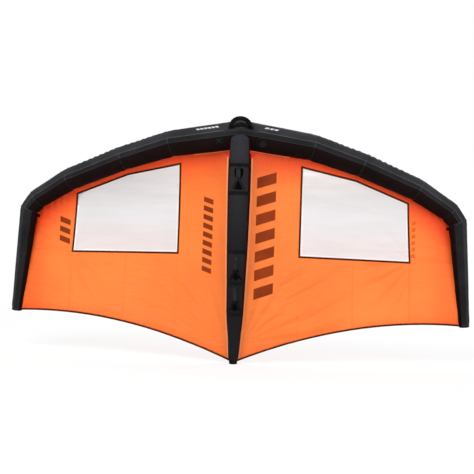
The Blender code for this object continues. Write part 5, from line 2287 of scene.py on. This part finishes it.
    def bars(self) -> list[Object]:
        """Builds plain slanted bars in the places of the printed marks, dark on the back and fainter in front.

        Returns:
            The bars in front and behind.
        """
        if self.side is Side.LEFT:
            places = [(0.180, 0.247, 0.590, 1.125, 9), (1.228, 1.305, 0.762, 0.965, 3)]
        else:
            places = [(0.118, 0.248, 0.425, 1.310, 7), (1.214, 1.240, 0.74, 1.020, 6)]
        made = []
        fronts = [self.palette.print_front, self.palette.print_faint]
        backs = [self.palette.print_back] * 2
        for lift, finishes, word in ((-self.bar_lift, fronts, "front"), (self.bar_lift, backs, "back")):
            work = Patchwork()
            for low_x, high_x, low_z, high_z, count in places:
                pitch = (high_z - low_z) / count
                lean = (high_x - low_x) * 0.35
                for index in range(count):
                    z = low_z + pitch * index
                    first = self.line((low_x, z), (high_x, z + lean))
                    faint = int(self.side is Side.RIGHT and low_x > 1)
                    self.strip(work, first, [(x, h + pitch * 0.58) for x, h in first], lift, faint)
            name = f"canopy_{self.side.word}_bars_{word}"
            made.append(work.build(name, finishes, self.print_thickness, face_to=Vector((0, lift, 0))))
        return made

    def stitches(self) -> Object:
        """Sews the window's tape, the hem and the long seams, on the rider's side.

        Returns:
            The stitches.
        """
        thread = Thread(f"canopy_{self.side.word}_stitches", length=0.0046, pitch=0.0072, width=0.0011, height=0.0005)
        for reach in (-self.stitch_reach, self.stitch_reach):
            outline = self.outline(reach)
            for a, b in zip(outline, outline[1:] + outline[:1]):
                thread.run([self.lay(x, z, -0.0014) for x, z in self.line(a, b)], TO_RIDER)
        spans = steps(0.01, self.lines.half_span - 0.040, 0.014)
        thread.run([self.lay(x, self.lines.trailing_height(x) + 0.0095, -0.0016) for x in spans], TO_RIDER)
        return thread.build(self.palette.red_thread)

    def build(self) -> list[Object]:
        """Builds this half of the sail.

        Returns:
            Its pieces.
        """
        canopy, canopy_area = self.canopy()
        window, window_area = self.window()
        tape, border, hem, seams = self.tape(), self.border(), self.hem(), self.seams()
        corners, bars, stitches = self.corners(), self.bars(), self.stitches()
        LOG.info("canopy %s: %.3f m2, window %.3f m2", self.side.word, canopy_area, window_area)
        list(corners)
        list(bars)
        return [canopy, window, tape, border, hem, seams, *corners, *bars, stitches]


@dataclass
class RootTape:
    """The tape behind the joint of the two canopy halves."""

    lines: WingLines
    palette: Palette
    half: float = 0.018

    def build(self) -> list[Object]:
        """Builds the tape.

        Returns:
            The tape and its stitches.
        """
        work = Patchwork()
        heights = steps(0.0152, 1.4125, 0.012)
        rows = []
        for height in heights:
            row = []
            for index in range(9):
                x = self.half * (index / 4 - 1)
                depth = self.lines.sail_depth(abs(x), height) + 0.0016
                row.append(Vector((x, depth, height)))
            rows.append(row)
        work.grid(rows)
        piece = work.build(
            "root_tape_cloth", [self.palette.lower_cloth], 0.0012, 0.0003, -TO_RIDER,
            node="root_tape", slot="dark_seam_tape"
        )
        thread = Thread("root_tape_stitches", length=0.0046, pitch=0.0072, width=0.0012, height=0.0006)
        for column in (1, 7):
            thread.run([row[column] - TO_RIDER * 0.0008 for row in rows], -TO_RIDER)
        return [piece, thread.build(self.palette.dark_thread)]


@dataclass
class Fittings:
    """The inflation valve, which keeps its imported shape, its small details and the inner bladders."""

    lines: WingLines
    palette: Palette
    origin: tuple[float, float, float] = (0.147494, 0.002774, 1.480181)
    first: tuple[float, float, float] = (0.9714, 0.2065, -0.1177)
    second: tuple[float, float, float] = (0.1979, -0.4289, 0.8814)
    axis: tuple[float, float, float] = (0.1315, -0.8794, -0.4575)
    cap_top: float = 0.0193
    bladder_gap: float = 0.009
    patch_middle: Flat = (0.135, math.radians(-26))
    patch_reach: Flat = (0.038, math.radians(21))
    patch_lift: float = 0.0013
    hose_rib: float = 0.0005
    hose_pitch: float = 0.006

    def at(self, radius: float, turn: float, rise: float) -> Vector:
        """Point of the valve at a radius, a turn and a height along its axis."""
        across = Vector(self.first) * math.cos(turn) + Vector(self.second) * math.sin(turn)
        return Vector(self.origin) + across * radius + Vector(self.axis) * rise

    def ring(
        self, name: str, body: str, profile: Sequence[Flat], finish: Material, flutes: int = 0,
        depth: float = 0
    ) -> Object:
        """Builds a moulded ring of the valve.

        Args:
            name: Its name.
            body: The body that it moves with.
            profile: Radius and height pairs.
            finish: Its finish.
            flutes: Number of flutes round it.
            depth: Their depth.

        Returns:
            The ring.
        """
        turns = turns_round(96)
        waves = [depth * (0.5 - 0.5 * math.cos(turn * flutes)) for turn in turns]
        work = Patchwork()
        rings = [[self.at(radius + wave, turn, rise) for turn, wave in zip(turns, waves)] for radius, rise in profile]
        work.tube(rings, profile, capped=False)
        return work.build(name, [finish], weld=True, body=body)

    def build(self) -> list[Object]:
        """Dresses the valve, its patch, the hose and the bladders.

        Returns:
            The pieces.
        """
        shown = {
            "valve_base": self.palette.plastic, "valve_collar": self.palette.plastic,
            "valve_cap": self.palette.grey_plastic,
        }
        for node, finish in shown.items():
            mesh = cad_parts[node].data
            mesh.materials.clear()
            mesh.materials.append(finish)
        rim = [
            (0.0246, 0.0085), (0.0249, 0.0090), (0.0249, 0.0140), (0.0244, 0.0150), (0.0240, 0.0150),
            (0.0240, 0.0085), (0.0246, 0.0085),
        ]
        collar = self.ring("valve_collar_flutes", "valve_collar", rim, self.palette.plastic, 32, 0.0004)
        top = self.cap_top
        lid = [(0.0150, top + 0.0003), (0.0155, top + 0.0009), (0.0168, top + 0.0009), (0.0173, top + 0.0003)]
        cap = self.ring("valve_cap_ring", "valve_cap", lid, self.palette.grey_plastic)
        return [self.patch(), collar, cap, self.edge_bladder(), self.strut_bladder(), self.hose()]

    def edge_bladder(self) -> Object:
        """Builds the film bladder inside the leading edge, a little smaller than its sleeve.

        Returns:
            The bladder.
        """
        edges = self.lines.rings()
        clocks = turns_round(36)
        rings = []
        for side in Side:
            half = []
            for panel in range(6):
                inner, outer = edges[panel], edges[panel + 1]
                for share in steps(0, 1, 0.12)[: None if panel == 5 else -1]:
                    ring = []
                    for clock in clocks:
                        spot = Vector((math.cos(clock) * 2, math.sin(clock) * 2, panel + share * 5))
                        lift = 0.0015 * noise.noise(spot) - self.bladder_gap
                        ring.append(side.turn(inner.point(clock, lift).lerp(outer.point(clock, lift), share * 0.995)))
                    half.append(ring)
            rings.extend(reversed(half) if side is Side.LEFT else half[1:])
        work = Patchwork().tube(rings, [(0.09, index * 0.05) for index in range(len(rings))], along_first=True)
        finishes = [self.palette.bladder_film]
        piece = work.build("edge_bladder_film", finishes, weld=True, node="edge_bladder", slot="clear_bladder")
        return piece

    def strut_bladder(self) -> Object:
        """Builds the film bladder inside the strut.

        Returns:
            The bladder.
        """
        rings = []
        heights = steps(0.0700, 1.4280, 0.02)
        for height in heights:
            closed = min(height - heights[0], heights[-1] - height)
            shrink = 0.55 + 0.45 * math.sqrt(min(1.0, closed / 0.03))
            radius = self.lines.strut_radius(height)
            ring = []
            for turn in turns_round(32):
                lift = 0.0012 * noise.noise(Vector((math.cos(turn) * 2, math.sin(turn) * 2, height * 9)))
                ring.append(self.lines.strut_round(height, turn, (radius - 0.008) * shrink - radius + lift))
            rings.append(ring)
        work = Patchwork().tube(rings, [(0.06, height) for height in heights])
        finishes = [self.palette.bladder_film]
        piece = work.build("strut_bladder_film", finishes, weld=True, node="strut_bladder", slot="clear_bladder")
        return piece

    def hose(self) -> Object:
        """Builds the ribbed hose between the two bladders.

        Returns:
            The hose.
        """
        low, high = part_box("crossover_hose")
        middle = (Vector(low) + Vector(high)) / 2
        radius = (high[0] - low[0]) / 2
        heights = steps(low[2], high[2], 0.0012)
        rings = []
        for height in heights:
            wave = math.cos(FULL_TURN * (height - low[2]) / self.hose_pitch)
            wide = radius - 0.0006 + self.hose_rib * wave
            rings.append([
                Vector((middle.x + wide * math.sin(turn), middle.y - wide * math.cos(turn), height))
                for turn in turns_round(28)
            ])
        work = Patchwork().tube(rings, [(radius, height) for height in heights])
        return work.build(
            "crossover_hose_rubber", [self.palette.grip_rubber], weld=True, node="crossover_hose", slot="black_foam"
        )

    def patch(self) -> Object:
        """Builds the round edged patch under the valve.

        Returns:
            The patch.
        """
        inner, outer = self.lines.rings()[:2]
        run = outer.centre - inner.centre
        span_middle = self.patch_middle[0] / (run.length / run.x) * 1.075
        rings = []
        for share in (0.62, 0.75, 0.88, 0.96, 1.0):
            ring = []
            for turn in [*turns_round(72), 0.0]:
                span = span_middle + self.patch_reach[0] * share * math.cos(turn)
                angle = self.patch_middle[1] + self.patch_reach[1] * share * math.sin(turn)
                low, high = (edge.point(angle, self.patch_lift) for edge in (inner, outer))
                ring.append(low.lerp(high, span / run.x))
            rings.append(ring)
        work = Patchwork().grid(rings)
        return work.build(
            "valve_patch_cloth", [self.palette.lower_seam], 0.0016, 0.0005, TO_RIDER, True,
            node="valve_patch", slot="charcoal_patch"
        )


@dataclass
class Studio:
    """Pale floor, soft lights, white surroundings and the camera."""

    target: tuple[float, float, float] = (0, 0.0576, 0.776)
    position: tuple[float, float, float] = (0.276, -5.395, 0.776)
    lens: float = 61.43
    roll: float = math.radians(1.954)
    shift: Flat = (-0.0007, 0.0229)
    floor_size: float = 60.0
    lamp_size: float = 3.5
    key_power: float = 260.0
    fill_power: float = 120.0
    world_level: float = 0.55

    def camera(self) -> None:
        """Places the camera at the picture's angle."""
        data = bpy.data.cameras.new("camera")
        data.lens = self.lens
        data.sensor_width = 36
        data.shift_x, data.shift_y = self.shift
        data.clip_end = 200
        thing = add_object("camera", data)
        thing.location = self.position
        aim = (Vector(self.target) - Vector(self.position)).to_track_quat("-Z", "Y").to_matrix().to_4x4()
        thing.matrix_world = Matrix.Translation(self.position) @ aim @ Matrix.Rotation(self.roll, 4, "Z")
        bpy.context.scene.camera = thing

    def lamp(self, name: str, place: Color, power: float) -> None:
        """Adds a soft square lamp that faces the wing.

        Args:
            name: Its name.
            place: Where it hangs.
            power: Its power in watts.
        """
        data = bpy.data.lights.new(name, "AREA")
        data.shape = "SQUARE"
        data.size = self.lamp_size
        data.energy = power
        thing = add_object(name, data)
        thing.location = place
        thing.rotation_mode = "QUATERNION"
        thing.rotation_quaternion = (Vector(self.target) - Vector(place)).to_track_quat("-Z", "Y")

    def white_for_camera(self, tree: bpy.types.NodeTree) -> NodeSocket:
        """Value that is 1 for rays that see the surroundings and 0 for rays that light the wing.

        Args:
            tree: The node tree that it joins.

        Returns:
            The value.
        """
        path = tree.nodes.new("ShaderNodeLightPath")
        total = path.outputs["Is Camera Ray"]
        for name in ("Is Glossy Ray", "Is Transmission Ray"):
            both = tree.nodes.new("ShaderNodeMath")
            both.operation = "MAXIMUM"
            tree.links.new(total, both.inputs[0])
            tree.links.new(path.outputs[name], both.inputs[1])
            total = both.outputs[0]
        return total

    def world(self) -> None:
        """Makes the surroundings: white to look at, softer as light."""
        world = bpy.data.worlds.new("surroundings")
        bpy.context.scene.world = world
        world.use_nodes = True
        tree = world.node_tree
        background = tree.nodes["Background"]
        background.inputs["Color"].default_value = (1, 1, 1, 1)
        level = tree.nodes.new("ShaderNodeMapRange")
        tree.links.new(self.white_for_camera(tree), level.inputs["Value"])
        level.inputs["To Min"].default_value = self.world_level
        level.inputs["To Max"].default_value = 1.0
        tree.links.new(level.outputs[0], background.inputs["Strength"])

    def floor(self) -> None:
        """Makes the pale floor, which keeps the wing's shadow."""
        half = self.floor_size / 2
        mesh = bpy.data.meshes.new("floor")
        mesh.from_pydata([(-half, -half, 0), (half, -half, 0), (half, half, 0), (-half, half, 0)], [], [(0, 1, 2, 3)])
        thing = add_object("floor", mesh)
        thing.location = (0, 0, -0.0005)
        recipe = Recipe("floor")
        tree = recipe.material.node_tree
        recipe.set(Base_Color=(0.92, 0.92, 0.92), Roughness=0.9)
        glow = tree.nodes.new("ShaderNodeEmission")
        glow.inputs["Color"].default_value = (1, 1, 1, 1)
        glow.inputs["Strength"].default_value = 1.0
        mix = tree.nodes.new("ShaderNodeMixShader")
        reach = recipe.add("ShaderNodeVectorMath", {0: recipe.place()}, operation="LENGTH").outputs["Value"]
        white = recipe.spread(reach, 1.6, 5.5, 0.74, 1.0)
        share = recipe.calc("MULTIPLY", self.white_for_camera(tree), white)
        tree.links.new(share, mix.inputs[0])
        tree.links.new(recipe.shader.outputs[0], mix.inputs[1])
        tree.links.new(glow.outputs[0], mix.inputs[2])
        output = tree.nodes["Material Output"]
        tree.links.new(mix.outputs[0], output.inputs["Surface"])
        mesh.materials.append(recipe.material)
        thing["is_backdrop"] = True

    def build(self) -> None:
        """Makes the studio."""
        bpy.context.scene.view_settings.view_transform = "Standard"
        self.camera()
        self.world()
        self.floor()
        self.lamp("key", (-2.2, -4.2, 4.6), self.key_power)
        self.lamp("fill", (3.6, -4.0, 2.2), self.fill_power)
        self.lamp("back", (0.5, 4.5, 3.5), self.fill_power)


def corners(box: tuple) -> list[list[float]]:
    """A box's two corners as plain lists."""
    return [[float(value) for value in corner] for corner in box]


def main() -> None:
    """Builds the wing over its frame, piece by piece."""
    logging.basicConfig(level=logging.INFO, format="%(message)s")
    packed = corners(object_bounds())
    lines = WingLines()
    palette = Palette()
    Studio().build()
    tubes = [EdgeTube(side, lines, palette) for side in Side]
    strut = Strut(lines, palette)
    length = lines.strut_length
    half = strut.band_width / 2 + strut.band_lift
    handles = []
    for number, (upper, lower) in enumerate(((0, 1), (2, 3), (3, 4)), start=1):
        low, high = strut.bands[lower] * length + half, strut.bands[upper] * length - half
        handles.append(StrutHandle(number, low, high, strut, lines, palette))
    assemblies = [
        *tubes, strut, *handles, FrontHandle(lines, palette),
        *[Sail(side, lines, palette) for side in Side], RootTape(lines, palette), Fittings(lines, palette),
    ]
    for assembly in assemblies:
        for piece in assembly.build():
            LOG.info("%s: %s, %d faces", type(assembly).__name__, piece.name, len(piece.data.polygons))
    {"packed": packed, "dressed": corners(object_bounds())}


if __name__ == "__main__":
    main()
